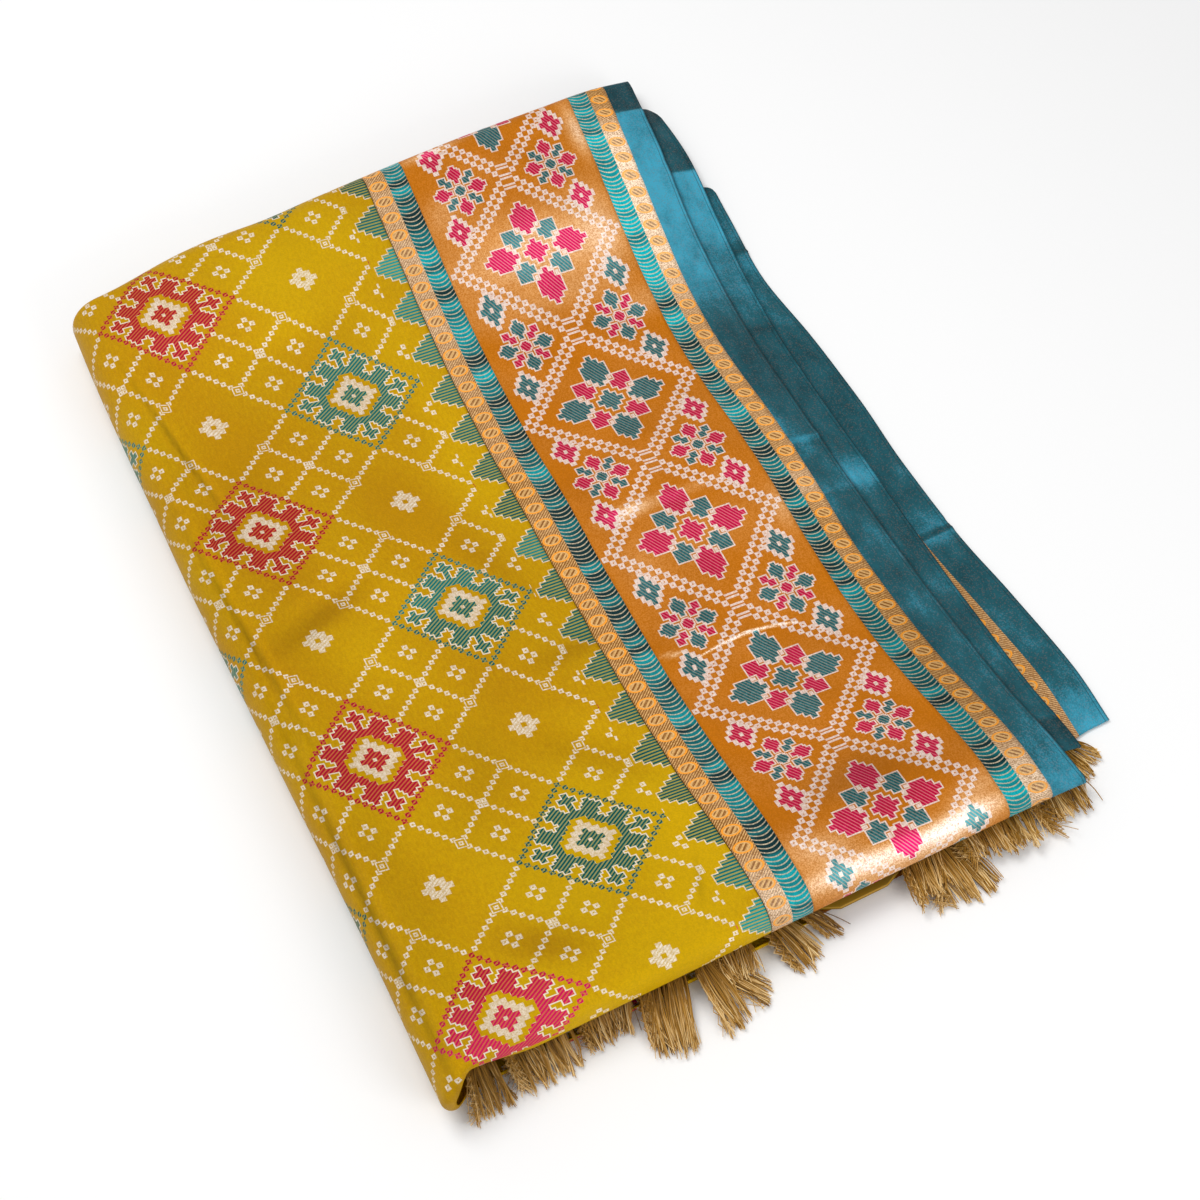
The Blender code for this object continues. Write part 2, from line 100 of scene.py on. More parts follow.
# How far the far end stands back, at places across the parcel
FAR_PLACES = (-158.0, -136.0, -110.0, -83.0, -54.0, -29.0, 17.0, 52.0, 104.0, 141.0)
FAR_INSETS = (15.5, 15.0, 7.6, 3.8, 3.6, 1.8, -0.4, -1.6, -2.6, -5.4)
NEAR_TUCK_HEIGHT = 10.4
FAR_TUCK_HEIGHT = 15.0
SMALLEST_ROLL = 2.6
SIDE_ROLL = 3.4
UNDER_ROLL = 2.5
ROLL_END = math.radians(130.0)
# The near and far ends of the middle layer, of the lowest one's edge, and of its hidden part
MIDDLE_NEAR = -157.0
MIDDLE_FAR = 231.0
LOWEST_NEAR = -150.0
LOWEST_FAR = 181.0
HIDDEN_NEAR = -171.0
HIDDEN_FAR = 238.0
MIDDLE_LAP = 5.0

# The woven lines that show on the top cloth
WOVEN_COLUMNS = ("along", "strip", "band", "band_end", "selvedge")
WOVEN_LINES = (
    (-173.0, -11.2, 7.5, 99.4, 120.3),
    (-150.0, -11.9, 7.0, 98.8, 119.8),
    (-130.0, -13.4, 6.0, 96.6, 117.2),
    (-100.0, -15.7, 3.6, 91.3, 111.2),
    (-70.0, -16.8, 1.9, 88.1, 107.8),
    (-30.0, -17.2, 1.5, 87.4, 106.2),
    (10.0, -17.2, 1.7, 88.5, 107.6),
    (40.0, -16.6, 2.5, 87.9, 107.2),
    (70.0, -16.6, 2.0, 86.3, 105.3),
    (95.0, -15.9, 2.8, 86.4, 104.7),
    (125.0, -14.3, 4.1, 88.8, 107.2),
    (155.0, -11.9, 6.5, 92.9, 111.9),
    (190.0, -8.5, 10.2, 98.4, 118.2),
    (244.6, -3.2, 16.2, 106.6, 127.0),
)

# Soft creases and ridges in the top cloth: from one place to another, half width, and height
CREASES = (
    (-131.0, 178.0, -143.0, 90.0, 2.4, -1.1),
    (-143.0, 90.0, -150.0, -15.0, 2.4, -1.4),
    (-150.0, -15.0, -150.5, -176.0, 2.6, -1.3),
    (-137.0, 90.0, -144.0, -15.0, 3.6, 0.8),
    (-144.0, -15.0, -144.5, -176.0, 3.6, 0.8),
    (-75.0, 55.0, -38.0, -10.0, 7.0, 1.0),
    (-62.0, 50.0, -26.0, -18.0, 5.0, -0.8),
    (-40.0, -30.0, -14.0, -29.0, 5.0, -1.0),
    (-36.0, -20.0, -12.0, -19.0, 5.0, 0.7),
    (-132.0, 25.0, -98.0, 35.0, 4.0, -1.1),
    (-130.0, 36.0, -96.0, 46.0, 5.0, 0.8),
    (-55.0, -55.0, -24.0, -82.0, 6.0, 0.9),
    (-64.0, -62.0, -22.0, -96.0, 6.0, -0.8),
    (-135.0, 120.0, -96.0, 95.0, 6.0, -0.8),
    (-140.0, 150.0, -90.0, 132.0, 7.0, 0.7),
    (-118.0, -75.0, -80.0, -108.0, 7.0, -0.7),
    (-95.0, 170.0, -50.0, 178.0, 8.0, 0.8),
    (-70.0, 214.0, -20.0, 204.0, 6.0, -0.6),
    (-60.0, -140.0, -20.0, -128.0, 7.0, 0.8),
    (-104.0, -140.0, -62.0, -152.0, 5.0, -0.7),
    (-33.0, -140.0, -27.0, -152.0, 1.2, -0.5),
    (12.0, -58.0, 40.0, -55.3, 1.5, 1.0),
    (40.0, -55.3, 63.0, -58.5, 1.5, 0.9),
    (10.0, -62.0, 60.0, -61.0, 2.6, -0.6),
    (3.0, -52.0, 16.0, -53.0, 1.6, 0.6),
    (4.0, 18.0, 30.0, 24.0, 3.0, 0.5),
    (20.0, 150.0, 70.0, 158.0, 7.0, 0.6),
    (-6.0, -140.0, 90.0, -146.0, 9.0, 0.7),
    (104.0, 190.0, 134.0, 196.0, 4.0, -1.0),
    (108.0, 23.0, 122.0, 25.4, 1.8, 1.0),
    (109.0, -6.0, 118.0, -5.0, 1.5, 0.7),
    (116.0, 229.5, 142.0, 227.4, 1.8, 0.8),
)
RUMPLE_LIFT = 0.3
# Creases fade out toward the rolled ends
NEAR_FADE_FROM = 4.0
NEAR_FADE = 12.0
FAR_FADE = 16.0
MIDDLE_CREASES = (
    (117.0, 88.5, 130.0, 86.0, 1.2, 0.6),
    (117.0, 85.5, 130.0, 83.0, 1.6, -0.5),
    (131.0, -141.0, 146.0, -138.0, 1.0, 0.5),
)
LOWEST_CREASES = (
    (138.0, -35.2, 155.0, -38.6, 0.9, 0.9),
    (138.0, -32.0, 155.0, -34.5, 1.6, -0.6),
    (136.0, 139.0, 150.0, 137.0, 1.2, 0.7),
)
CORNER_ROUND = 6.0

# The body cloth's lattice: the size of its units, how many make half a cell and half a diamond of chains,
# and where its rows lie along the two columns of motifs
UNIT = 2.26
CELL_UNITS = 27
LINE_UNITS = 13
HALF_CELL = CELL_UNITS * UNIT
COLUMN_PLACES = (-106.0, -44.0)
ROW_PLACES = (
    (-3.5, -192.5, -195.3),
    (-3.0, -161.9, -166.6),
    (-2.0, -102.2, -110.4),
    (-1.0, -40.5, -52.7),
    (0.0, 20.3, 8.6),
    (1.0, 80.0, 67.7),
    (2.0, 138.8, 128.0),
    (3.0, 204.2, 196.4),
    (4.0, 266.0, 260.4),
)
# How far the lattice lies toward the fold from an even weave: along, then at four places across
DRIFT_PLACES = (-106.0, -75.0, -44.0, 0.0)
DRIFTS = (
    (-165.0, 6.0, 1.2, 0.8, 0.0),
    (-135.0, 5.2, 1.6, 1.0, 0.0),
    (-105.0, 3.0, 1.0, 1.0, 0.0),
    (-60.0, 0.9, 0.5, 0.5, 0.0),
    (-15.0, 0.2, -0.5, -0.5, 0.0),
    (30.0, -0.5, -1.5, -1.2, 0.0),
    (75.0, 0.2, -0.4, -0.5, 0.0),
    (120.0, 1.0, 0.0, -0.5, 0.0),
    (165.0, 3.2, 1.0, -0.4, 0.0),
    (195.0, 4.8, 2.0, 0.5, 0.0),
    (225.0, 6.5, 4.0, 1.3, 0.0),
)
# Where the border's flowers and green points lie along the parcel, by the number of their repeat
FLOWER_PLACES = (
    (-3.0, -228.0),
    (-2.0, -150.0),
    (-1.5, -114.2),
    (-1.0, -80.8),
    (-0.5, -41.2),
    (0.0, 0.6),
    (0.5, 40.3),
    (1.0, 76.4),
    (1.5, 117.4),
    (2.0, 166.0),
    (2.5, 211.0),
    (3.0, 258.0),
)
TEMPLE_PLACES = (
    (-9.0, -192.0),
    (-8.0, -170.6),
    (-6.0, -127.6),
    (-4.0, -87.3),
    (-2.0, -44.0),
    (0.0, -0.5),
    (2.0, 44.2),
    (4.0, 87.8),
    (6.0, 134.2),
    (8.0, 184.8),
    (9.0, 212.3),
    (10.0, 236.5),
    (11.0, 259.0),
)
TEMPLE_REPEAT = 22.3
# The body cloth is plain past this place, under the near end
PLAIN_BELOW = -3.27 * HALF_CELL
OVAL_REPEAT = TEMPLE_REPEAT / 2.5
OVAL_START = 4.4
OVAL_HALF_WIDE = 4.2
OVAL_HALF_LONG = 2.75
SCALLOP_REPEAT = 2.08
SCALLOP_BOW = 1.38
BAND_UNIT = 2.63
FLOWER_REPEAT = 30 * BAND_UNIT
BAND_SLOPE = -0.05
TEMPLE_SLOPE = -0.083
STRIP_WIDE = 9.5
LOWEST_SELVEDGE = 15.4
LOWEST_STRIP_INSET = 2.4
# The curved crease's painted highlight in the band: its middle and half width across, its bow, and its place
# along
ARC_MIDDLE = -4.5
ARC_HALF_WIDE = 26.0
ARC_BOW = 3.6
ARC_PLACE = -53.2
# The widest motif that a chart can hold
CHART_SIZE = 64.0

# Painted light and shade of the body cloth: a patch's middle, turn, half length, half width, how much
# lighter (darker below 0), and how much greener
FIELD_TONES = (
    (-137.6, 134.0, 97.8, 44.0, 1.3, -0.42, 0.2),
    (-147.2, 38.0, 93.9, 52.0, 1.3, -0.38, 0.2),
    (-150.8, -96.0, 90.2, 80.0, 1.6, -0.44, 0.2),
    (-142.5, 120.0, 97.8, 44.0, 4.0, -0.08, 0.2),
    (-151.6, 38.0, 93.9, 52.0, 4.0, -0.03, 0.2),
    (-133.6, 120.0, 97.8, 44.0, 2.2, 0.10, 0.0),
    (-143.4, 38.0, 93.9, 52.0, 2.2, 0.10, 0.0),
    (-146.8, -96.0, 90.2, 80.0, 2.2, 0.08, 0.0),
    (-138.0, -95.0, 90.0, 90.0, 13.0, -0.13, 0.2),
    (-128.0, 70.0, 80.0, 70.0, 22.0, -0.09, -0.4),
    (-94.0, -143.0, -30.0, 20.0, 8.0, -0.20, -0.6),
    (-80.0, -172.0, 0.0, 62.0, 5.0, 0.22, 0.6),
    (-18.0, -172.0, 0.0, 26.0, 5.0, 0.14, 0.5),
    (-96.0, 186.0, 10.0, 60.0, 26.0, 0.08, -0.2),
    (-50.0, 205.0, 0.0, 50.0, 34.0, 0.02, 0.7),
    (-62.0, 60.0, 110.0, 70.0, 22.0, -0.03, -0.3),
    (-28.0, 88.0, 90.0, 70.0, 14.0, 0.10, 0.4),
    (-26.0, -30.0, 0.0, 18.0, 5.0, -0.16, -0.3),
    (-115.0, 30.0, 17.0, 22.0, 5.0, -0.22, -0.3),
    (-112.0, 41.0, 17.0, 20.0, 5.0, 0.07, 0.0),
    (-52.0, 26.0, 120.0, 34.0, 7.0, 0.08, 0.2),
    (-40.0, 18.0, 120.0, 30.0, 6.0, -0.10, -0.2),
    (-44.0, -78.0, 138.0, 26.0, 6.0, -0.10, -0.2),
    (-36.0, -66.0, 138.0, 24.0, 6.0, 0.08, 0.2),
    (-72.0, 174.0, 8.0, 30.0, 8.0, 0.07, 0.2),
    (-88.0, 20.0, 40.0, 30.0, 16.0, 0.05, 0.2),
    (-84.0, -60.0, 60.0, 45.0, 14.0, -0.08, 0.0),
    (-60.0, -118.0, 0.0, 60.0, 34.0, 0.0, 0.7),
    (-22.0, -128.0, 80.0, 40.0, 16.0, 0.12, 0.8),
    (-84.0, -158.0, -4.0, 60.0, 12.0, 0.06, 0.5),
    (-30.0, -146.0, 70.0, 9.0, 1.6, -0.2, 0.5),
)
# Painted light and shade of the orange band: a patch's middle, turn, half length, half width, how much
# lighter (darker below 0), and its painted shine
BAND_TONES = (
    (54.0, 166.0, 0.0, 42.0, 22.0, 0.10, 0.50),
    (84.0, 166.0, 80.0, 24.0, 9.0, 0.03, 0.26),
    (20.0, 203.0, 60.0, 12.0, 8.0, 0.0, 0.24),
    (101.0, 224.0, 84.0, 16.0, 4.5, 0.0, 0.60),
    (30.0, 240.0, 4.0, 13.0, 2.2, 0.0, 0.60),
    (46.0, 138.0, 0.0, 32.0, 8.0, 0.0, 0.16),
    (84.0, 120.0, -10.0, 12.0, 8.0, 0.0, 0.20),
    (60.0, 56.0, 0.0, 22.0, 12.0, -0.08, 0.0),
    (24.0, 20.5, 4.0, 11.0, 3.4, 0.0, 0.55),
    (48.0, 20.0, 0.0, 24.0, 2.6, 0.0, 0.22),
    (86.0, -6.0, 80.0, 11.0, 5.0, 0.0, 0.30),
    (16.0, -8.0, 80.0, 12.0, 8.0, 0.0, 0.12),
    (10.0, 10.0, 90.0, 60.0, 5.0, -0.06, 0.0),
    (20.0, -38.0, 30.0, 24.0, 12.0, -0.08, 0.0),
    (60.0, -80.0, -8.0, 50.0, 20.0, -0.06, 0.0),
    (60.0, -136.0, -6.0, 60.0, 13.0, -0.16, 0.0),
    (52.0, -132.0, 0.0, 16.0, 9.0, -0.18, 0.0),
    (36.0, -168.0, -2.0, 40.0, 4.6, 0.16, 0.84),
    (80.0, -168.0, 3.0, 24.0, 4.2, 0.12, 0.74),
    (48.0, -4.0, 0.0, 30.0, 16.0, 0.02, 0.08),
    (9.0, -51.0, -14.0, 5.0, 1.2, 0.0, 0.60),
    (20.0, -155.0, -14.0, 17.0, 8.0, 0.0, 0.40),
    (90.0, -159.0, 14.0, 15.0, 5.5, 0.0, 0.34),
)
# How bright the painted shine of the strips and the teal layers is, along the parcel
OUTER_SHINE = (
    (-176.0, 0.30), (-168.0, 0.85), (-158.0, 0.70), (-146.0, 0.30), (-130.0, 0.04), (-60.0, 0.02),
    (-6.0, 0.06), (0.0, 0.30), (10.0, 0.24), (20.0, 0.06), (100.0, 0.14), (122.0, 0.45), (140.0, 0.85),
    (190.0, 1.0), (216.0, 0.80), (228.0, 0.1), (248.0, 0.0),
)
INNER_SHINE = (
    (-176.0, 0.50), (-166.0, 0.70), (-154.0, 0.36), (-140.0, 0.06), (-60.0, 0.0), (60.0, 0.02),
    (120.0, 0.16), (150.0, 0.36), (190.0, 0.34), (225.0, 0.20), (248.0, 0.05),
)
TEMPLE_SHINE = (
    (-178.0, 0.9), (-164.0, 0.8), (-150.0, 0.35), (-130.0, 0.05), (-95.0, 0.05), (-60.0, 0.15),
    (-10.0, 0.15), (8.0, 0.2), (18.0, 0.6), (30.0, 0.5), (40.0, 0.05), (70.0, 0.15), (110.0, 0.28),
    (140.0, 0.45), (160.0, 0.6), (176.0, 0.9), (192.0, 0.9), (204.0, 0.35), (220.0, 0.2), (236.0, 0.05),
)
TOP_SHINE = (
    (-176.0, 0.72), (-168.0, 0.82), (-152.0, 0.58), (-132.0, 0.44), (-100.0, 0.50), (-84.0, 0.34),
    (-70.0, 0.48), (-56.0, 0.36), (-40.0, 0.52), (-24.0, 0.34), (-6.5, 0.44), (-5.0, 0.62), (8.0, 0.36),
    (22.0, 0.42), (24.5, 0.74), (27.0, 0.50), (45.0, 0.46), (62.0, 0.28), (82.0, 0.24), (104.0, 0.56),
    (122.0, 0.78), (150.0, 0.92), (190.0, 1.0), (226.0, 0.90), (229.0, 0.95), (230.5, 0.22), (248.0, 0.16),
)
MIDDLE_SHINE = (
    (-157.0, 0.26), (-146.0, 0.12), (-141.0, 0.15), (-139.0, 0.50), (-120.0, 0.32), (-100.0, 0.42),
    (-84.0, 0.30), (-66.0, 0.48), (-50.0, 0.30), (-30.0, 0.32), (-12.0, 0.40), (0.0, 0.80), (7.0, 0.72),
    (16.0, 0.38), (40.0, 0.30), (66.0, 0.32), (90.0, 0.20), (94.0, 0.52), (120.0, 0.62), (140.0, 0.78),
    (176.0, 1.0), (188.0, 1.0), (190.0, 0.34), (212.0, 0.38), (224.0, 0.18), (231.0, 0.10),
)
LOWEST_SHINE = (
    (-172.0, 0.80), (-150.0, 0.86), (-140.0, 0.82), (-128.0, 0.62), (-112.0, 0.40), (-96.0, 0.50),
    (-80.0, 0.38), (-62.0, 0.30), (-46.0, 0.34), (-39.5, 0.68), (-38.0, 0.12), (-35.0, 0.60), (-20.0, 0.48),
    (4.0, 0.32), (24.0, 0.42), (44.0, 0.26), (64.0, 0.28), (84.0, 0.32), (108.0, 0.48), (136.0, 0.62),
    (138.5, 0.24), (146.0, 0.50), (160.0, 0.62), (174.0, 0.40), (181.0, 0.20), (240.0, 0.05),
)
# Painted light and shade of the outer strips, along the parcel
OUTER_LIGHT = (
    (-176.0, 1.0), (-150.0, 0.90), (-124.0, 0.76), (-84.0, 0.76), (-44.0, 0.94), (0.0, 1.08), (100.0, 1.04),
    (140.0, 1.24), (216.0, 1.26), (248.0, 1.0),
)
PLAIN_LIGHT = ((0.0, 1.0), (1.0, 1.0))
# How deep the shade is on a layer beside the edge that lies on it, and how wide
EDGE_SHADE = 0.55
EDGE_SHADE_WIDE = 1.7
# The folded side's shade: how deep, from where across, below what height, and how softly each way
SIDE_SHADE = 0.25
SIDE_SHADE_FROM = -150.0
SIDE_SHADE_SOFT = 7.0
SIDE_SHADE_BELOW = 24.0
SIDE_SHADE_FALL = 18.0
# How uneven the painted shine is on the strips and on the teal layers
STRIP_UNEVEN = 0.08
TEAL_UNEVEN = 0.12


def blend(low, high, share):
    return low + (high - low) * share


def ease(share):
    share = np.clip(share, 0.0, 1.0)
    return share * share * (3.0 - 2.0 * share)


def smooth_through(places, values, at):
    """Values on a smooth curve through given places: both may differ from one row of at to the next."""
    places = [np.broadcast_to(place, np.shape(at)) for place in places]
    values = [np.broadcast_to(value, np.shape(at)) for value in values]
    last = len(places) - 1
    result = np.where(at <= places[0], values[0], values[last])

    def slope(i):
        low = max(0, i - 1)
        high = min(last, i + 1)
        return (values[high] - values[low]) / (places[high] - places[low])

    for i in range(last):
        span = places[i + 1] - places[i]
        t = np.clip((at - places[i]) / span, 0.0, 1.0)
        curve = ((2 * t**3 - 3 * t**2 + 1) * values[i] + (t**3 - 2 * t**2 + t) * span * slope(i)
                 + (3 * t**2 - 2 * t**3) * values[i + 1] + (t**3 - t**2) * span * slope(i + 1))
        result = np.where((at > places[i]) & (at <= places[i + 1]), curve, result)
    return result


def column_at(table, column, along):
    """A table's column, on a smooth curve through the places in its first column."""
    return smooth_through([row[0] for row in table], [row[column] for row in table], along)


def repeats_at(table, repeat, level):
    """v of a repeated motif, from a table of its repeats' numbers and their places along the parcel."""
    return smooth_through([row[1] for row in table], [row[0] * repeat for row in table], level)


def line_at(name, along):
    """How far across the parcel a line of its solids lies at places along it."""
    if name == "turn":
        return line_at("fold", along) + TURN_REACH
    return column_at(SECTIONS, SECTION_COLUMNS.index(name), along)


def woven_at(name, along):
    """How far across the parcel a line between two woven stretches of the top cloth lies."""
    if name == "edge":
        return line_at("edge", along)
    return column_at(WOVEN_LINES, WOVEN_COLUMNS.index(name), along)


def crease_lift(across, along, creases):
    """Soft troughs and ridges along short lines, and the silk's slight rumples."""
    ripples = np.sin(across / 8.5 + 1.4 * np.sin(along / 19.0))
    lift = RUMPLE_LIFT * ripples * np.sin(along / 15.0 + across / 27.0)
    for from_x, from_y, to_x, to_y, half, height in creases:
        length = math.hypot(to_x - from_x, to_y - from_y)
        way = ((to_x - from_x) / length, (to_y - from_y) / length)
        on = (across - from_x) * way[0] + (along - from_y) * way[1]
        off = (across - from_x) * way[1] - (along - from_y) * way[0]
        past = np.maximum(0.0, np.maximum(-on, on - length))
        lift = lift + height * np.exp(-(off / half) ** 2 - (past / (2.5 * half)) ** 2)
    return lift


def smooth_top(across, along):
    """The top of the parcel without its creases."""
    lines = [line_at(line, along) for line, _ in HEIGHTS]
    height = smooth_through(lines, [height for _, height in HEIGHTS], across)
    for x, y, wide, long, lift in SWELLS:
        height = height + lift * np.exp(-((across - x) / wide) ** 2 - ((along - y) / long) ** 2)
    return height


def far_end(across):
    return FAR_END - smooth_through(FAR_PLACES, FAR_INSETS, across)


def near_end(across):
    return blend(SIDE_NEAR_END, NEAR_END, ease((across - SIDE_END_FROM) / (SIDE_END_TO - SIDE_END_FROM)))


def top_section(across, along):
    """Places, heights, outward ways and end rolls of the cloth on top."""
    height = smooth_top(across, along)
    sinking = 1.0 - math.cos(ROLL_END)
    side = ease((across - line_at("turn", along)) / SIDE_ROLL_SOFT)
    near = np.maximum(SMALLEST_ROLL, (height - NEAR_TUCK_HEIGHT) / sinking)
    far = np.maximum(SMALLEST_ROLL, (height - FAR_TUCK_HEIGHT) / sinking)
    zero = np.zeros(np.shape(across))
    return across, height, (zero, zero + 1.0), blend(SIDE_ROLL, near, side), blend(SIDE_ROLL, far, side)


def turn_section(turned, along):
    """On the folded side: turned is 0 under the parcel and 1 on top of it."""
    shoulder = line_at("turn", along)
    middle = smooth_top(shoulder, along) / 2.0
    angle = math.pi * turned
    out_x = -middle * np.sin(angle)
    out_z = -TURN_REACH * np.cos(angle)
    size = np.hypot(out_x, out_z)
    roll = blend(UNDER_ROLL, SIDE_ROLL, ease(turned * 2.0))
    across = shoulder - TURN_REACH * np.sin(angle)
    return across, middle - middle * np.cos(angle), (out_x / size, out_z / size), roll, roll


def under_section(across, along):
    zero = np.zeros(np.shape(along))
    return across + zero, zero, (zero, zero - 1.0), zero + UNDER_ROLL, zero + UNDER_ROLL


def rolled_points(section_at, end, share):
    """Points of the outer cloth: end is 0 on the near roll, 1 along the parcel and 2 on the far roll."""
    flat = np.where(end == 1, share, np.where(end == 0, 0.0, 1.0))
    guess = section_at(blend(NEAR_END, FAR_END, flat))
    start = near_end(guess[0]) + guess[3]
    stop = far_end(guess[0]) - guess[4]
    along = blend(start, stop, flat)
    across, height, out, near_roll, far_roll = section_at(along)
    roll = np.where(end == 0, near_roll, far_roll)
    angle = np.where(end == 1, 0.0, ROLL_END * share)
    away = np.where(end == 0, -1.0, 1.0)
    sunk = roll * (1.0 - np.cos(angle))
    lift = np.where(end == 1, crease_lift(across, along, CREASES), 0.0) * np.maximum(out[1], 0.0)
    fade = ease((along - NEAR_END - NEAR_FADE_FROM) / NEAR_FADE) * ease((FAR_END - along) / FAR_FADE)
    points = np.stack([across - out[0] * sunk,
                       along + away * roll * np.sin(angle),
                       height - out[1] * sunk + lift * fade], axis=-1)
    return points, along + away * roll * angle


def weave_place(across, along):
    """v of the body cloth's lattice at places on the parcel."""
    column = (across - COLUMN_PLACES[0]) / (COLUMN_PLACES[1] - COLUMN_PLACES[0])
    column = np.clip(column, -0.75, 1.7)
    places = [blend(row[1], row[2], column) for row in ROW_PLACES]
    return smooth_through(places, [row[0] * HALF_CELL for row in ROW_PLACES], along)


def lattice_drift(across, along):
    """How far the lattice has drifted toward the fold, for cloth places across from the border."""
    drifts = [column_at(DRIFTS, number + 1, along) for number in range(len(DRIFT_PLACES))]
    return smooth_through(DRIFT_PLACES, drifts, across)


def flower_place(across, along):
    """v of the border's flowers: 0 at the middle one."""
    middle = (woven_at("band", along) + woven_at("band_end", along)) / 2.0
    level = along - BAND_SLOPE * (across - middle)
    return repeats_at(FLOWER_PLACES, FLOWER_REPEAT, level)


def temple_place(across, along):
    """v of the green points and of the strips beside them, for cloth places across from the border."""
    return repeats_at(TEMPLE_PLACES, TEMPLE_REPEAT, along - TEMPLE_SLOPE * across)


def painted(across, along, patches):
    """The two amounts that a table of soft patches adds at places on the parcel."""
    lighter = np.zeros(np.shape(across))
    other = np.zeros(np.shape(across))
    for x, y, degrees, half_long, half_wide, light, amount in patches:
        turn = math.radians(degrees)
        on = (across - x) * math.cos(turn) + (along - y) * math.sin(turn)
        off = (along - y) * math.cos(turn) - (across - x) * math.sin(turn)
        soft = np.exp(-(on / half_long) ** 2 - (off / half_wide) ** 2)
        lighter += light * soft
        other += amount * soft
    return lighter, other


def run_along(table, along):
    return np.interp(along, [row[0] for row in table], [row[1] for row in table])


def clouds(across, along, wide, long):
    """Uneven soft tones between -1 and 1."""
    x = across / wide
    y = along / long
    drifting = np.sin(x + 2.1 * np.sin(y / 1.7)) * np.sin(y + 1.3 * np.sin(x))
    return (drifting + 0.5 * np.sin(x * 2.3 + y * 1.9 + 1.0)) / 1.5


def field_tones(points):
    """The body cloth's painted light and shade, the painted shine of its coloured yarns, and how lemon its
    ground is.
    """
    across, along, height = points.T
    lighter, greener = painted(across, along, FIELD_TONES)
    light = 1.0 + lighter + 0.035 * clouds(across, along, 13.0, 17.0)
    side = (ease((SIDE_SHADE_FROM - across) / SIDE_SHADE_SOFT)
            * ease((SIDE_SHADE_BELOW - height) / SIDE_SHADE_FALL))
    green = 0.35 + greener + 0.25 * clouds(across, along, 21.0, 26.0)
    return light - SIDE_SHADE * side, run_along(TEMPLE_SHINE, along), green


def band_tones(points):
    """The orange band's painted light and shade, and its painted shine."""
    across, along, _ = points.T
    lighter, shinier = painted(across, along, BAND_TONES)
    light = 1.0 + lighter + 0.05 * clouds(across, along, 12.0, 9.0)
    shine = 0.03 + shinier + 0.04 * clouds(across, along, 17.0, 11.0)
    return light, np.clip(shine, 0.0, 1.0), np.zeros(len(points))


def shine_tones(table, uneven, lights=PLAIN_LIGHT, under=None):
    """Painted shine and light along a layer from its tables, with painted shade beside the edge of the layer
    that lies on it.
    """
    def tones(points):
        across, along, _ = points.T
        shine = run_along(table, along) + uneven * clouds(across, along, 9.0, 13.0)
        light = run_along(lights, along)
        if under:
            beside = np.maximum(0.0, across - line_at(under, along)) / EDGE_SHADE_WIDE
            light = light * (1.0 - EDGE_SHADE * np.exp(-beside * beside))
        return light, np.clip(shine, 0.0, 1.0), np.zeros(len(points))
    return tones


def grid_piece(name, columns, rows, place, tones, thick, material):
    """A thin cloth shell on a grid of columns across and rows along, with its weave places as a UV map."""
    mesh = bmesh.new()
    bmesh.ops.create_grid(mesh, x_segments=len(columns) - 1, y_segments=len(rows) - 1, size=1.0)
    data = bpy.data.meshes.new(name)
    mesh.to_mesh(data)
    mesh.free()
    flat = np.zeros(len(data.vertices) * 3)
    data.vertices.foreach_get("co", flat)
    flat = flat.reshape(-1, 3)
    i = np.rint((flat[:, 0] + 1.0) / 2.0 * (len(columns) - 1)).astype(int)
    j = np.rint((flat[:, 1] + 1.0) / 2.0 * (len(rows) - 1)).astype(int)
    points, weave = place(np.asarray(columns)[i], np.asarray(rows)[j])
    tone = data.attributes.new("tone", "FLOAT_VECTOR", "POINT")
    tone.data.foreach_set("vector", np.stack(tones(points), axis=-1).ravel())
    points = (points - np.array([CENTRE_ACROSS, CENTRE_ALONG, 0.0])) * MM
    data.vertices.foreach_set("co", points.ravel())
    layer = data.uv_layers.new(name="weave")
    loops = np.zeros(len(data.loops), dtype=int)
    data.loops.foreach_get("vertex_index", loops)
    layer.data.foreach_set("uv", weave[loops, :2].ravel())
    if weave.shape[-1] == 3:
        level = data.attributes.new("level", "FLOAT", "POINT")
        level.data.foreach_set("value", np.ascontiguousarray(weave[:, 2]))
    data.materials.append(material)
    data.shade_smooth()
    data.update()
    piece = bpy.data.objects.new(name, data)
    bpy.context.scene.collection.objects.link(piece)
    wall = piece.modifiers.new("Cloth", "SOLIDIFY")
    wall.thickness = thick * MM
    wall.offset = -1.0
    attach(piece, "root")
    return piece


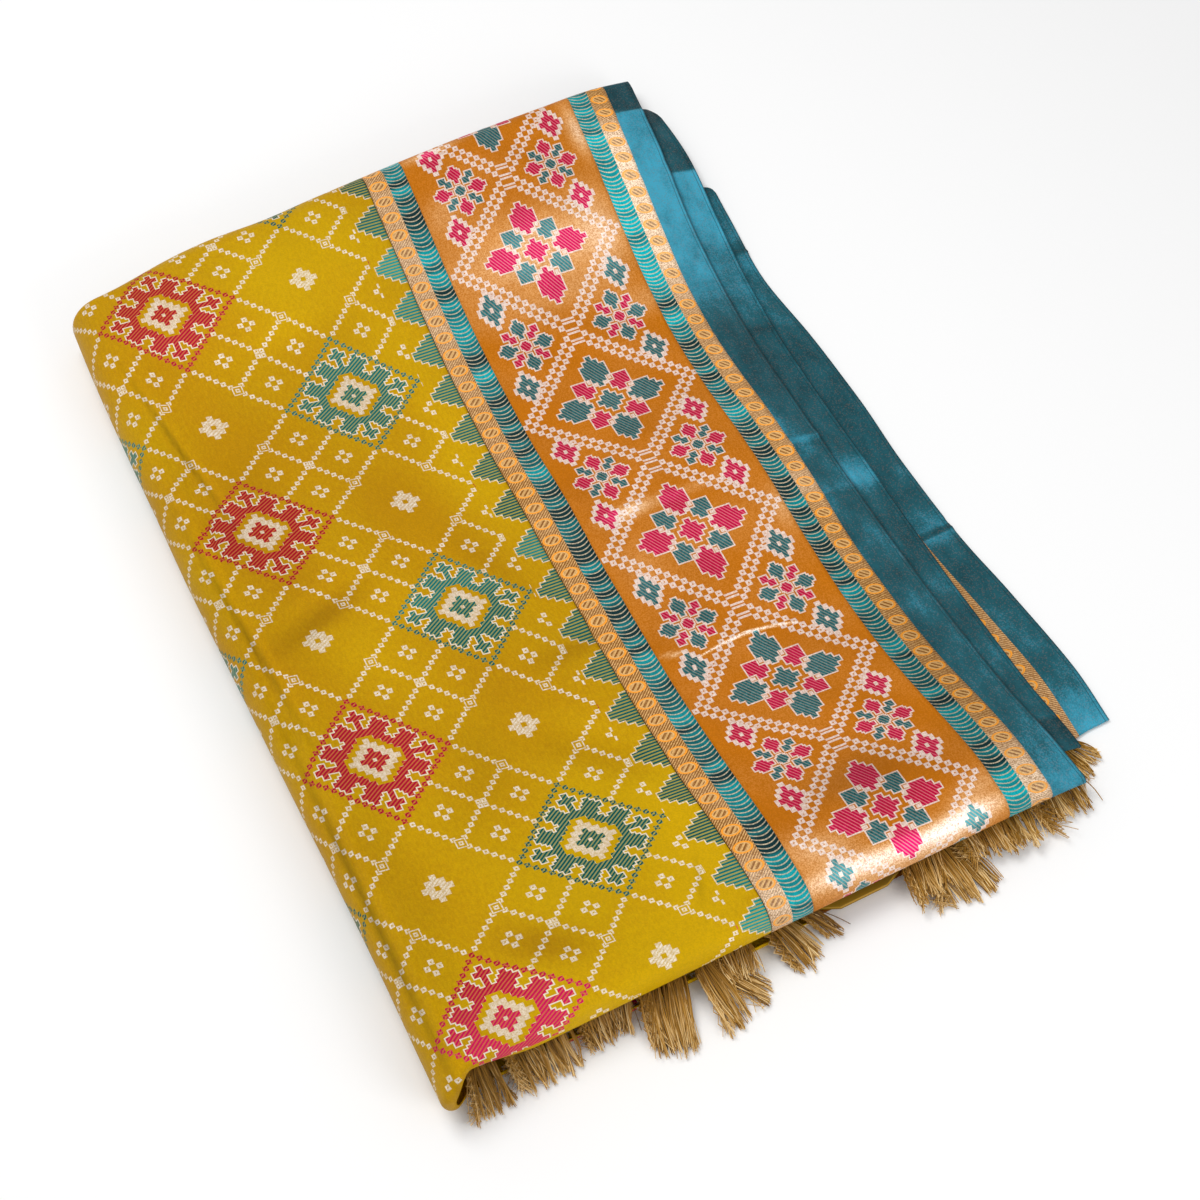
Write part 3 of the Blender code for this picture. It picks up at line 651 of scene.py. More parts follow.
class Yarn:
    """Builds a cloth material from arithmetic on the weave's places."""

    def __init__(self, name):
        self.material = bpy.data.materials.new(name)
        self.material.use_nodes = True
        self.tree = self.material.node_tree
        self.shader = self.tree.nodes["Principled BSDF"]
        places = self.tree.nodes.new("ShaderNodeUVMap")
        places.uv_map = "weave"
        self.place = places.outputs["UV"]
        self.u, self.v, _ = self.parts(self.place)
        # The tone attribute holds painted light and shade, painted shine, and the ground's drift toward
        # lemon
        self.light, self.shine, self.green = self.parts(self.painted("tone").outputs["Vector"])

    def painted(self, name):
        node = self.tree.nodes.new("ShaderNodeAttribute")
        node.attribute_name = name
        return node

    def parts(self, vector):
        split = self.tree.nodes.new("ShaderNodeSeparateXYZ")
        self.tree.links.new(vector, split.inputs["Vector"])
        return split.outputs["X"], split.outputs["Y"], split.outputs["Z"]

    def put(self, socket, value):
        if isinstance(value, (int, float)):
            socket.default_value = value
        elif isinstance(value, tuple):
            socket.default_value = (*value, 1.0) if len(socket.default_value) == 4 else value
        else:
            self.tree.links.new(value, socket)

    def calc(self, operation, first, second=0.0, third=0.0):
        node = self.tree.nodes.new("ShaderNodeMath")
        node.operation = operation
        for socket, value in zip(node.inputs, (first, second, third)):
            self.put(socket, value)
        return node.outputs["Value"]

    def add(self, first, second):
        return self.calc("ADD", first, second)

    def less(self, first, second):
        return self.calc("SUBTRACT", first, second)

    def times(self, first, second):
        return self.calc("MULTIPLY", first, second)

    def times_add(self, first, second, third):
        return self.calc("MULTIPLY_ADD", first, second, third)

    def size(self, value):
        return self.calc("ABSOLUTE", value)

    def below(self, value, limit):
        return self.calc("LESS_THAN", value, limit)

    def above(self, value, limit):
        return self.calc("GREATER_THAN", value, limit)

    def about(self, value, middle, half=0.5):
        """1 where a value lies within half of a middle."""
        return self.calc("COMPARE", value, middle, half)

    def least(self, first, second):
        return self.calc("MINIMUM", first, second)

    def most(self, *values):
        result = values[0]
        for value in values[1:]:
            result = self.calc("MAXIMUM", result, value)
        return result

    def held(self, value):
        """The value kept between 0 and 1."""
        return self.calc("MINIMUM", self.calc("MAXIMUM", value, 0.0), 1.0)

    def from_nearest(self, value, step, start=0.0):
        """How far a value lies from the nearest whole step."""
        return self.calc("PINGPONG", self.less(value, start) if start else value, step / 2.0)

    def turns_odd(self, value, step):
        """1 where the nearest whole step's number is odd."""
        return self.above(self.calc("PINGPONG", value, step), step / 2.0)

    def part_of(self, value, step):
        """Share of the way through a repeated step."""
        return self.calc("FRACT", self.times(value, 1.0 / step))

    def folded(self, x, y):
        """The larger and the smaller distance from a motif's middle, for a motif with eight like parts."""
        return self.most(x, y), self.least(x, y)

    def chart(self, row_place, run_place, rows):
        """1 inside a charted motif: each row of the chart has its start and up to two runs.

        A row's colour in the ramp holds its runs: the first one's middle and half, then the second one's.
        """
        size = CHART_SIZE
        node = self.tree.nodes.new("ShaderNodeValToRGB")
        ramp = node.color_ramp
        ramp.interpolation = "CONSTANT"
        span = rows[-1][0] * 1.02 + 0.01
        ramp.elements.remove(ramp.elements[1])
        for number, (start, runs) in enumerate(rows):
            runs = (list(runs) + [(size, size), (size, size)])[:2]
            middles = [(low + high) / 2.0 / size for low, high in runs]
            halves = [(high - low) / 2.0 / size for low, high in runs]
            mark = ramp.elements[0] if number == 0 else ramp.elements.new(start / span)
            mark.position = start / span
            mark.color = (middles[0], halves[0], middles[1], halves[1])
        self.put(node.inputs["Fac"], self.times(row_place, 1.0 / span))
        first_middle, first_half, second_middle = self.parts(node.outputs["Color"])
        place = self.times(run_place, 1.0 / size)
        inside = self.calc("COMPARE", place, first_middle, first_half)
        if max(len(runs) for _, runs in rows) < 2:
            return inside
        return self.most(inside, self.calc("COMPARE", place, second_middle, node.outputs["Alpha"]))

    def mix(self, share, first, second):
        """From the first colour to the second, by the node's colour sockets, 6, 7 and 2."""
        node = self.tree.nodes.new("ShaderNodeMix")
        node.data_type = "RGBA"
        self.put(node.inputs["Factor"], share)
        self.put(node.inputs[6], first)
        self.put(node.inputs[7], second)
        return node.outputs[2]

    def scaled(self, colour, amount):
        node = self.tree.nodes.new("ShaderNodeVectorMath")
        node.operation = "SCALE"
        self.put(node.inputs[0], colour)
        self.put(node.inputs["Scale"], amount)
        return node.outputs["Vector"]

    def noise(self, scale_u, scale_v, detail=1.0):
        """Unevenness stretched along the cloth, from -0.5 to 0.5."""
        node = self.tree.nodes.new("ShaderNodeVectorMath")
        node.operation = "MULTIPLY"
        self.put(node.inputs[0], self.place)
        node.inputs[1].default_value = (scale_u, scale_v, 1.0)
        uneven = self.tree.nodes.new("ShaderNodeTexNoise")
        uneven.noise_dimensions = "2D"
        uneven.inputs["Scale"].default_value = 1.0
        uneven.inputs["Detail"].default_value = detail
        self.put(uneven.inputs["Vector"], node.outputs["Vector"])
        return self.less(uneven.outputs["Fac"], 0.5)

    def glints(self, pitch):
        """A random tone from 0 to 1 for each crossing of the yarns."""
        snap = self.tree.nodes.new("ShaderNodeVectorMath")
        snap.operation = "SNAP"
        self.put(snap.inputs[0], self.place)
        snap.inputs[1].default_value = (pitch, pitch, pitch)
        tone = self.tree.nodes.new("ShaderNodeTexWhiteNoise")
        tone.noise_dimensions = "2D"
        self.put(tone.inputs["Vector"], snap.outputs["Vector"])
        return tone.outputs["Value"]

    def finish(self, colour, light, roughness, gloss, bumps):
        """Set the shader: bumps is the height of the silk's ripples and ribs, in millimetres."""
        self.put(self.shader.inputs["Base Color"], self.scaled(colour, light))
        self.shader.inputs["Roughness"].default_value = roughness
        self.shader.inputs["Specular IOR Level"].default_value = gloss
        warp = self.calc("SINE", self.times(self.u, 2.0 * math.pi / 0.62))
        weft = self.calc("SINE", self.times(self.v, 2.0 * math.pi / 0.55))
        node = self.tree.nodes.new("ShaderNodeBump")
        node.inputs["Strength"].default_value = 0.6
        node.inputs["Distance"].default_value = bumps * MM
        self.put(node.inputs["Height"], self.times_add(self.times(warp, weft), 0.12, self.noise(0.13, 0.07)))
        self.put(self.shader.inputs["Normal"], node.outputs["Normal"])
        return self.material


# Colours of the yarns
MUSTARD = (0.506, 0.247, 0.0004)
LEMON = (0.572, 0.340, 0.0004)
WHITE_YARN = (0.84, 0.76, 0.64)
CREAM = (0.76, 0.64, 0.50)
FIELD_TEAL = (0.002, 0.080, 0.075)
# The brighter teal and red here are lit copies of the field's yarns, mixed in by painted shine
SHINING_FIELD_TEAL = (0.006, 0.32, 0.33)
FIELD_RED = (0.36, 0.002, 0.012)
SHINING_RED = (0.68, 0.008, 0.120)
TEAL_HATCH = (0.44, 0.40, 0.12)
RED_HATCH = (0.64, 0.20, 0.05)
ORANGE = (0.54, 0.158, 0.0004)
# The pale gold and bright silver here are painted highlight colours
SHEEN_GOLD = (0.92, 0.56, 0.22)
SILVER = (0.80, 0.63, 0.55)
SILVER_GLARE = (0.98, 0.88, 0.80)
BAND_TEAL = (0.004, 0.080, 0.085)
BAND_PINK = (0.46, 0.0001, 0.030)
SHINING_TEAL = (0.09, 0.38, 0.42)
SHINING_PINK = (0.80, 0.008, 0.16)
TEAL_THREAD = (0.55, 0.44, 0.34)
PINK_THREAD = (0.98, 0.34, 0.38)
COPPER = (0.25, 0.085, 0.006)
COPPER_LIGHT = (0.78, 0.46, 0.17)
STRIP_GLARE = (1.0, 0.80, 0.60)
OVAL_GOLD = (0.98, 0.36, 0.03)
# Dark and bright teal of the scallops: a shaded and a lit copy, mixed by painted sheen
SCALLOP_DARK = (0.001, 0.026, 0.030)
SCALLOP_BRIGHT = (0.0, 0.44, 0.48)
TAN = (0.62, 0.50, 0.34)
# Dark, middle and bright teal: shaded and lit copies of the selvedge silk, mixed by painted shine; the dark
# one also colours the hem line
SELVEDGE_DARK = (0.008, 0.034, 0.042)
SELVEDGE_MIDDLE = (0.016, 0.116, 0.149)
SELVEDGE_BRIGHT = (0.060, 0.40, 0.57)
RUST = (0.20, 0.08, 0.035)
TEMPLE_GREEN = (0.001, 0.070, 0.068)
TEMPLE_LIGHT = (0.44, 0.35, 0.06)
GOLDEN_FOLDS = (0.50, 0.27, 0.002)
ORANGE_FOLDS = (0.50, 0.15, 0.004)
TEAL_FOLDS = (0.014, 0.10, 0.14)
# A thread's ramp from its shaded root to its lit tip: the dark end is painted shade
THREAD_DARK = (0.08, 0.03, 0.003)
THREAD_BROWN = (0.42, 0.205, 0.022)
THREAD_LIGHT = (0.95, 0.70, 0.34)

# Blocks of the motifs, as low x, high x, low y, high y from a motif's middle, x being the larger distance
STITCH = 1.15
RING_BLOCKS = (
    (10.0, 21.0, -1.0, 1.0),
    (17.0, 19.0, -3.0, 3.0),
    (10.0, 13.0, -3.0, 3.0),
    (15.0, 17.0, 5.0, 7.0),
    (13.0, 15.5, 4.0, 8.4),
    (12.0, 14.2, 3.0, 10.0),
    (10.0, 12.2, 3.0, 8.2),
    (8.0, 10.2, 3.0, 7.0),
    (6.2, 8.6, 5.0, 8.4),
)
HOLE_BLOCKS = ((0.0, 9.0, -1.0, 1.0), (0.0, 7.0, -3.0, 3.0), (0.0, 5.0, -5.0, 5.0))
CORE_BLOCKS = ((0.0, 5.0, -1.0, 1.0), (0.0, 3.0, -3.0, 3.0))
TEMPLE_BLOCKS = (
    (-1.0, 11.5, -2.0, 2.0),
    (-1.0, 8.9, -4.1, 4.1),
    (-1.0, 6.1, -6.3, 6.3),
    (-1.0, 2.9, -8.6, 8.6),
)
FLOWER_MIDDLE = ((0.0, 5.9, -1.2, 1.2), (0.0, 3.6, -3.6, 3.6))
BIG_PETAL = ((8.8, 25.3, -1.15, 1.15), (11.1, 22.9, -3.4, 3.4), (13.6, 20.5, -5.8, 5.8))
PETAL_GROUND = ((9.0, 11.3, -3.4, 3.4), (11.1, 13.8, -5.8, 5.8))
CORNER_PETAL = ((6.7, 13.0, 6.7, 13.0), (6.2, 9.9, 4.0, 6.9))
LITTLE_MIDDLE = ((0.0, 2.4, -1.1, 1.1), (0.0, 1.7, -1.7, 1.7))
LITTLE_PETAL = ((4.0, 12.8, -1.0, 1.0), (7.2, 10.4, -3.1, 3.1), (6.2, 11.2, -2.1, 2.1))
LITTLE_CORNER = ((5.2, 8.4, 5.2, 8.4), (2.9, 6.0, 2.9, 6.0))
ROSETTE = ((0.0, 5.8, -1.2, 1.2), (0.0, 3.4, -3.4, 3.4))
ROSETTE_GROUND = ((0.0, 7.6, -1.5, 1.5), (0.0, 5.6, -3.9, 3.9))
LINE_WIDE = 0.6
FIELD_LINE = 0.5
TEMPLE_LINE = 0.5
# Places of the little flowers and the rosettes, across from the band's middle and along from a junction
LITTLE_ACROSS = 23.2
ROSETTE_ACROSS = 31.0
ROSETTE_ALONG = 19.8
# A rosette's width and length, as shares of its chart's
ROSETTE_WIDE = 0.89
ROSETTE_LONG = 1.2


def in_stitches(blocks):
    return tuple(tuple(value * STITCH for value in block) for block in blocks)


def widened(blocks, by):
    return tuple((a - by, b + by, c - by, d + by) for a, b, c, d in blocks)


def chart_rows(blocks, folded=True, clear=(), margin=0.0):
    """Rows of a motif made of blocks, each with its runs, kept a margin away from the blocks to clear."""
    mirrored = tuple((c, d, a, b) for a, b, c, d in blocks) if folded else ()
    blocks = tuple(blocks) + mirrored
    edges = sorted({0.0} | {round(max(0.0, edge), 3) for block in blocks for edge in block[2:]}
                   | {round(block[3] + margin, 3) for block in clear})
    rows = []
    for low, high in zip(edges, edges[1:]):
        middle = (low + high) / 2.0
        runs = []
        for a, b in sorted((a, b) for a, b, c, d in blocks if c < middle < d and (not folded or b > low)):
            if runs and a <= runs[-1][1] + 0.01:
                runs[-1][1] = max(runs[-1][1], b)
            else:
                runs.append([a, b])
        free = max([b + margin for _, b, _, d in clear if middle < d + margin], default=-1.0)
        rows.append((low, [(max(a, free), b) for a, b in runs if b > free]))
    while rows and not rows[-1][1]:
        rows.pop()
    end = edges[[round(edge, 3) for edge in edges].index(rows[-1][0]) + 1]
    return rows + [(end, [])]


def field_material():
    """Golden body silk: a lattice of white chains, red and teal diamonds, small white stars and temples."""
    yarn = Yarn("field_silk")
    u = yarn.less(yarn.u, COLUMN_PLACES[1])
    rising = yarn.from_nearest(yarn.add(u, yarn.v), 2 * HALF_CELL)
    falling = yarn.from_nearest(yarn.less(u, yarn.v), 2 * HALF_CELL)
    far, near = yarn.folded(rising, falling)
    long = yarn.times(yarn.add(rising, falling), 0.5)
    short = yarn.times(yarn.less(far, near), 0.5)
    red = yarn.turns_odd(u, HALF_CELL)

    # Chain rings at every unit of the lattice's lines
    ring_long = yarn.calc("ROUND", yarn.times(long, 1.0 / UNIT))
    ring_short = yarn.calc("ROUND", yarn.times(short, 1.0 / UNIT))
    ring_far = yarn.add(ring_long, ring_short)
    ring_near = yarn.less(ring_long, ring_short)
    box = yarn.most(yarn.from_nearest(long, UNIT), yarn.from_nearest(short, UNIT))
    ring = yarn.about(box, 0.68, 0.35)
    past = yarn.above(ring_far, LINE_UNITS + 0.5)
    lines = yarn.times(past, yarn.most(yarn.about(ring_near, LINE_UNITS), yarn.about(ring_near, 0.0)))
    crossing = yarn.times(yarn.about(ring_far, CELL_UNITS), yarn.below(ring_near, LINE_UNITS + 0.5))
    lines = yarn.most(lines, crossing)

    # Little hollow squares where the lines meet
    knot_far = yarn.less(HALF_CELL, far)
    knot_near = yarn.size(yarn.less(near, LINE_UNITS * UNIT))
    knot_box = yarn.times(yarn.add(knot_far, knot_near), 0.5)
    knot = yarn.most(yarn.about(knot_box, 1.95, 0.24), yarn.about(knot_box, 0.62, 0.3))
    chains = yarn.times(yarn.times(lines, ring), yarn.above(knot_box, 2.5))

    # Florets of four squares in the cells, and the star
    cell_far = yarn.size(yarn.less(far, (CELL_UNITS + LINE_UNITS) / 2 * UNIT))
    cell_near = yarn.size(yarn.less(near, LINE_UNITS / 2 * UNIT))
    cell_long = yarn.size(yarn.times_add(yarn.add(cell_far, cell_near), 0.5, -2.5))
    cell_short = yarn.size(yarn.times(yarn.less(cell_far, cell_near), 0.5))
    floret = yarn.about(yarn.most(cell_long, cell_short), 0.72, 0.42)
    star_long = yarn.less(HALF_CELL, long)
    star_points = yarn.times(yarn.below(star_long, 6.2), yarn.below(short, 1.3))
    star = yarn.most(star_points, yarn.below(star_long, 4.0))
    star = yarn.times(star, yarn.above(star_long, 1.1))
    ribs = yarn.above(yarn.part_of(yarn.less(yarn.v, yarn.times(yarn.u, 0.7)), 1.6), 0.58)
    star = yarn.times(star, yarn.times_add(ribs, -0.4, 1.0))
    inside = yarn.times(yarn.below(u, HALF_CELL / 2.0 + 0.4), yarn.above(yarn.v, PLAIN_BELOW))

    # The diamond's ring with its fine outline, its cream band and middle flower
    hole = in_stitches(HOLE_BLOCKS)
    ring_blocks = in_stitches(RING_BLOCKS)
    body = yarn.chart(short, long, chart_rows(ring_blocks, clear=hole, margin=STITCH))
    rim_rows = chart_rows(widened(ring_blocks, FIELD_LINE), clear=hole, margin=STITCH * 1.9)
    rim = yarn.chart(short, long, rim_rows)
    cream = yarn.chart(short, long, chart_rows(hole))
    core = yarn.chart(short, long, chart_rows(in_stitches(CORE_BLOCKS)))
    outline = yarn.times(yarn.about(ring_far, 13.0), yarn.about(box, 0.65, 0.42))
    coloured = yarn.most(body, yarn.times(core, yarn.above(long, 0.8)), outline)

    # Stepped green points that stand into the body cloth from the border
    level = yarn.painted("level").outputs["Fac"]
    point_y = yarn.from_nearest(level, TEMPLE_REPEAT)
    point_x = yarn.times(yarn.u, -1.0)
    temple = yarn.chart(point_y, point_x, chart_rows(TEMPLE_BLOCKS, folded=False))
    temple_rows = chart_rows(widened(TEMPLE_BLOCKS, TEMPLE_LINE), folded=False)
    temple_rim = yarn.chart(point_y, point_x, temple_rows)

    # The yarns' colours, laid one over another
    glint = yarn.glints(0.5)
    slub = yarn.noise(0.9, 0.35)
    ground = yarn.mix(yarn.held(yarn.times_add(slub, 0.6, yarn.green)), MUSTARD, LEMON)
    # Painted shine brightens the red and teal yarns, more on the near half
    red_sheen = yarn.times(yarn.shine, yarn.times_add(yarn.below(yarn.v, 0.0), 0.75, 0.2))
    red_yarn = yarn.mix(red_sheen, FIELD_RED, SHINING_RED)
    teal_yarn = yarn.mix(yarn.times(yarn.shine, 0.6), FIELD_TEAL, SHINING_FIELD_TEAL)
    red_yarn = yarn.mix(yarn.times(ribs, 0.62), red_yarn, RED_HATCH)
    teal_yarn = yarn.mix(yarn.times(ribs, 0.64), teal_yarn, TEAL_HATCH)
    motif = yarn.mix(red, teal_yarn, red_yarn)
    thread = yarn.times_add(glint, 0.5, 0.45)
    white = yarn.times(yarn.most(chains, knot, floret, star), thread)
    colour = yarn.mix(yarn.times(yarn.most(white, yarn.times(rim, 0.85)), inside), ground, WHITE_YARN)
    colour = yarn.mix(yarn.times(yarn.times(cream, inside), yarn.times_add(glint, 0.5, 0.5)), colour, CREAM)
    colour = yarn.mix(yarn.times(coloured, inside), colour, motif)
    stripes = yarn.above(yarn.part_of(level, TEMPLE_REPEAT / 15.0), 0.55)
    # Painted shine brightens the green points too
    green = yarn.mix(yarn.shine, TEMPLE_GREEN, SHINING_FIELD_TEAL)
    green = yarn.mix(yarn.times(stripes, 0.8), green, TEMPLE_LIGHT)
    colour = yarn.mix(yarn.times(temple_rim, yarn.times_add(glint, 0.6, 0.3)), colour, WHITE_YARN)
    colour = yarn.mix(temple, colour, green)
    light = yarn.times(yarn.light, yarn.times_add(slub, 0.10, yarn.times_add(glint, 0.14, 0.93)))
    return yarn.finish(colour, light, 0.42, 0.06, 0.9)


def strip_colours(yarn, from_edge, glint, shine):
    """A copper strip with gold ovals, then a teal strip with curved rows: from_edge runs from 0 to 19."""
    off = yarn.less(from_edge, STRIP_WIDE / 2.0)
    oval_x = yarn.times(off, 1.0 / OVAL_HALF_WIDE)
    oval_y = yarn.times(yarn.from_nearest(yarn.v, OVAL_REPEAT, OVAL_START), 1.0 / OVAL_HALF_LONG)
    oval = yarn.calc("SQRT", yarn.times_add(oval_x, oval_x, yarn.times(oval_y, oval_y)))
    twill = yarn.above(yarn.part_of(yarn.times_add(off, -0.9, yarn.v), 1.3), 0.5)
    leaf = yarn.above(yarn.part_of(yarn.times_add(off, -0.9, yarn.v), 2.4), 0.5)
    copper = yarn.mix(yarn.times(twill, yarn.times_add(glint, 0.7, 0.35)), COPPER, COPPER_LIGHT)
    shining = yarn.times(shine, yarn.times_add(glint, 0.8, 0.3))
    copper = yarn.mix(yarn.held(shining), copper, STRIP_GLARE)
    gold = yarn.mix(yarn.times(yarn.below(oval, 0.70), 0.7), copper, yarn.mix(leaf, COPPER, COPPER_LIGHT))
    gold = yarn.mix(yarn.about(oval, 0.70, 0.06), gold, COPPER_LIGHT)
    # Painted shine turns the ovals' rims pale gold
    oval_rim = yarn.mix(yarn.times(shine, 0.4), OVAL_GOLD, SHEEN_GOLD)
    gold = yarn.mix(yarn.about(oval, 0.89, 0.11), gold, oval_rim)

    bow = yarn.times(yarn.less(from_edge, 1.5 * STRIP_WIDE), SCALLOP_BOW / (STRIP_WIDE / 2.0))
    row = yarn.times(yarn.less(yarn.v, yarn.times(bow, bow)), 1.0 / SCALLOP_REPEAT)
    # Painted sheen: the scallops' teal goes from dark to bright along soft streaks and where the strip
    # shines
    bright = yarn.times_add(yarn.noise(0.01, 0.11), 2.8, yarn.times_add(shine, 0.75, 0.2))
    bright = yarn.times(yarn.held(bright), yarn.times_add(glint, 0.3, 0.75))
    teal = yarn.mix(bright, SCALLOP_DARK, SCALLOP_BRIGHT)
    curve = yarn.below(yarn.calc("FRACT", row), 0.26)
    teal = yarn.mix(yarn.times(curve, yarn.times_add(glint, 0.5, 0.5)), teal, TAN)
    return yarn.mix(yarn.above(from_edge, STRIP_WIDE), gold, teal)


def strips_material():
    """A gold strip and a scalloped strip side by side."""
    yarn = Yarn("border_strips")
    glint = yarn.glints(0.45)
    light = yarn.times(yarn.light, yarn.times_add(glint, 0.16, 0.92))
    return yarn.finish(strip_colours(yarn, yarn.u, glint, yarn.shine), light, 0.36, 0.12, 0.4)


def band_material():
    """Orange satin with a double chain of small squares in diamonds, and flowers in two colours."""
    yarn = Yarn("border_brocade")
    u = yarn.size(yarn.u)
    y = yarn.from_nearest(yarn.v, FLOWER_REPEAT)
    y_between = yarn.less(FLOWER_REPEAT / 2.0, y)
    odd = yarn.turns_odd(yarn.v, FLOWER_REPEAT)
    gap_odd = yarn.turns_odd(yarn.less(yarn.v, FLOWER_REPEAT / 2.0), FLOWER_REPEAT)
    glint = yarn.glints(0.48)

    # Double chain of squares
    away = yarn.times_add(u, 1.0 / BAND_UNIT, -1.2)
    up = yarn.times(y_between, 1.0 / BAND_UNIT)
    place = yarn.calc("MAXIMUM", yarn.calc("CEIL", away), 0.0)
    row = yarn.calc("ROUND", up)
    on_chain = yarn.most(yarn.about(place, row), yarn.about(yarn.add(place, 2.0), row))
    in_x = yarn.times(yarn.less(0.5, yarn.from_nearest(away, 1.0)), yarn.above(away, 0.0))
    square = yarn.most(in_x, yarn.from_nearest(up, 1.0))
    chain = yarn.times(on_chain, yarn.about(square, 0.31, 0.19))
    chain_heart = yarn.times(on_chain, yarn.below(square, 0.13))

    # Big flowers, little flowers and rosettes beside the junctions
    long, short = yarn.folded(u, y)
    flower = FLOWER_MIDDLE + BIG_PETAL
    main = yarn.chart(short, long, chart_rows(flower))
    other = yarn.chart(short, long, chart_rows(CORNER_PETAL))
    rim_blocks = widened(flower + CORNER_PETAL, LINE_WIDE) + PETAL_GROUND
    rim = yarn.chart(short, long, chart_rows(rim_blocks))
    little_x = yarn.size(yarn.less(u, LITTLE_ACROSS))
    little_long, little_short = yarn.folded(little_x, yarn.size(y_between))
    petal = yarn.chart(little_short, little_long, chart_rows(LITTLE_PETAL))
    corner = yarn.chart(little_short, little_long, chart_rows(LITTLE_CORNER + LITTLE_MIDDLE))
    all_little = LITTLE_PETAL + LITTLE_CORNER + LITTLE_MIDDLE
    little_rim = yarn.chart(little_short, little_long, chart_rows(widened(all_little, LINE_WIDE)))
    rose_x = yarn.times(yarn.size(yarn.less(u, ROSETTE_ACROSS)), 1.0 / ROSETTE_WIDE)
    rose_y = yarn.times(yarn.size(yarn.less(y_between, ROSETTE_ALONG)), 1.0 / ROSETTE_LONG)
    rose_long, rose_short = yarn.folded(rose_x, rose_y)
    rose = yarn.chart(rose_short, rose_long, chart_rows(ROSETTE))
    rose_rim = yarn.chart(rose_short, rose_long, chart_rows(ROSETTE_GROUND))

    # Painted highlight on the edge of the curved crease, thinner toward its ends
    arc = yarn.times(yarn.less(yarn.u, ARC_MIDDLE), 1.0 / ARC_HALF_WIDE)
    bend = yarn.times(arc, arc)
    arc_half = yarn.times_add(bend, -0.8, 1.4)
    arc_place = yarn.times_add(bend, -ARC_BOW, ARC_PLACE)
    on_arc = yarn.less(arc_half, yarn.size(yarn.less(yarn.v, arc_place)))
    on_arc = yarn.times(yarn.held(on_arc), yarn.held(yarn.times(yarn.less(1.0, bend), 3.0)))
    shine = yarn.most(yarn.shine, yarn.times(on_arc, yarn.times_add(glint, 0.4, 0.56)))

    # The yarns' colours, laid one over another
    # Painted sheen: the orange ground goes pale gold, then silver-white, where it shines, flecked by painted
    # glints
    satin_sheen = yarn.times_add(glint, yarn.times_add(shine, 0.9, 0.05), yarn.times_add(shine, 0.6, -0.03))
    gold = yarn.mix(yarn.times(shine, shine), SHEEN_GOLD, SILVER_GLARE)
    colour = yarn.mix(yarn.held(satin_sheen), ORANGE, gold)
    # Painted shine lights the silver threads
    bright = yarn.held(yarn.times_add(shine, 0.8, yarn.times_add(glint, 0.4, -0.2)))
    silver = yarn.mix(bright, SILVER, SILVER_GLARE)
    white = yarn.most(chain, rim, little_rim, rose_rim)
    colour = yarn.mix(yarn.times(white, yarn.times_add(glint, 0.25, 0.75)), colour, silver)
    colour = yarn.mix(yarn.times(chain_heart, 0.45), colour, ORANGE)
    # Painted shine lights the hatch threads and the pink and teal yarns
    ribs = yarn.above(yarn.part_of(yarn.times_add(yarn.u, 1.6, yarn.v), 2.6), 0.64)
    thread = yarn.times(ribs, yarn.times_add(shine, 0.4, 0.35))
    lit = yarn.held(yarn.times_add(shine, 1.1, yarn.times_add(glint, 0.3, -0.08)))
    pink = yarn.mix(thread, yarn.mix(lit, BAND_PINK, SHINING_PINK), PINK_THREAD)
    teal = yarn.mix(thread, yarn.mix(lit, BAND_TEAL, SHINING_TEAL), TEAL_THREAD)
    colour = yarn.mix(main, colour, yarn.mix(odd, pink, teal))
    colour = yarn.mix(other, colour, yarn.mix(odd, teal, pink))
    axis = yarn.mix(gap_odd, pink, teal)
    diagonal = yarn.mix(gap_odd, teal, pink)
    colour = yarn.mix(yarn.most(petal, yarn.times(rose, yarn.above(rose_long, 0.9))), colour, axis)
    colour = yarn.mix(corner, colour, diagonal)
    # Painted shine also lightens the whole band
    light = yarn.times(yarn.light, yarn.times_add(shine, 0.2, yarn.times_add(glint, 0.16, 0.92)))
    return yarn.finish(colour, light, 0.36, 0.07, 0.8)


def teal_colours(yarn, from_edge, glint):
    """Plain shot silk: teal warp over a rusty weft, shaded to lit by painted shine, with a hem line near its
    edge and painted shade on the edge itself.
    """
    # Painted sheen: the teal goes from dark to bright with the painted shine and soft streaks
    uneven = yarn.times_add(yarn.noise(0.16, 0.09), 0.34, yarn.less(yarn.shine, 0.1))
    shade = yarn.held(yarn.times_add(glint, 0.2, uneven))
    colour = yarn.mix(yarn.held(yarn.times(shade, 2.0)), SELVEDGE_DARK, SELVEDGE_MIDDLE)
    colour = yarn.mix(yarn.held(yarn.times_add(shade, 2.0, -1.0)), colour, SELVEDGE_BRIGHT)
    colour = yarn.mix(yarn.times(yarn.above(glint, 0.84), 0.25), colour, RUST)
    # A dark hem line, and painted shade on the edge itself
    hem_and_edge_shade = yarn.most(yarn.about(from_edge, 1.8, 0.2), yarn.below(from_edge, 0.5))
    return yarn.mix(yarn.times(hem_and_edge_shade, 0.55), colour, SELVEDGE_DARK)


def selvedge_material():
    yarn = Yarn("selvedge_silk")
    return yarn.finish(teal_colours(yarn, yarn.u, yarn.glints(0.55)), yarn.light, 0.4, 0.09, 0.8)


def lowest_material():
    """The lowest layer: its teal selvedge from its edge, then the border's strips."""
    yarn = Yarn("lowest_layer")
    glint = yarn.glints(0.5)
    from_edge = yarn.less(yarn.u, LOWEST_SELVEDGE + LOWEST_STRIP_INSET)
    strips = strip_colours(yarn, from_edge, glint, yarn.times(yarn.shine, 0.2))
    strips = yarn.mix(yarn.above(yarn.u, LOWEST_SELVEDGE + 2 * STRIP_WIDE), strips, ORANGE)
    colour = yarn.mix(yarn.above(yarn.u, LOWEST_SELVEDGE), teal_colours(yarn, yarn.u, glint), strips)
    return yarn.finish(colour, yarn.light, 0.4, 0.09, 0.8)


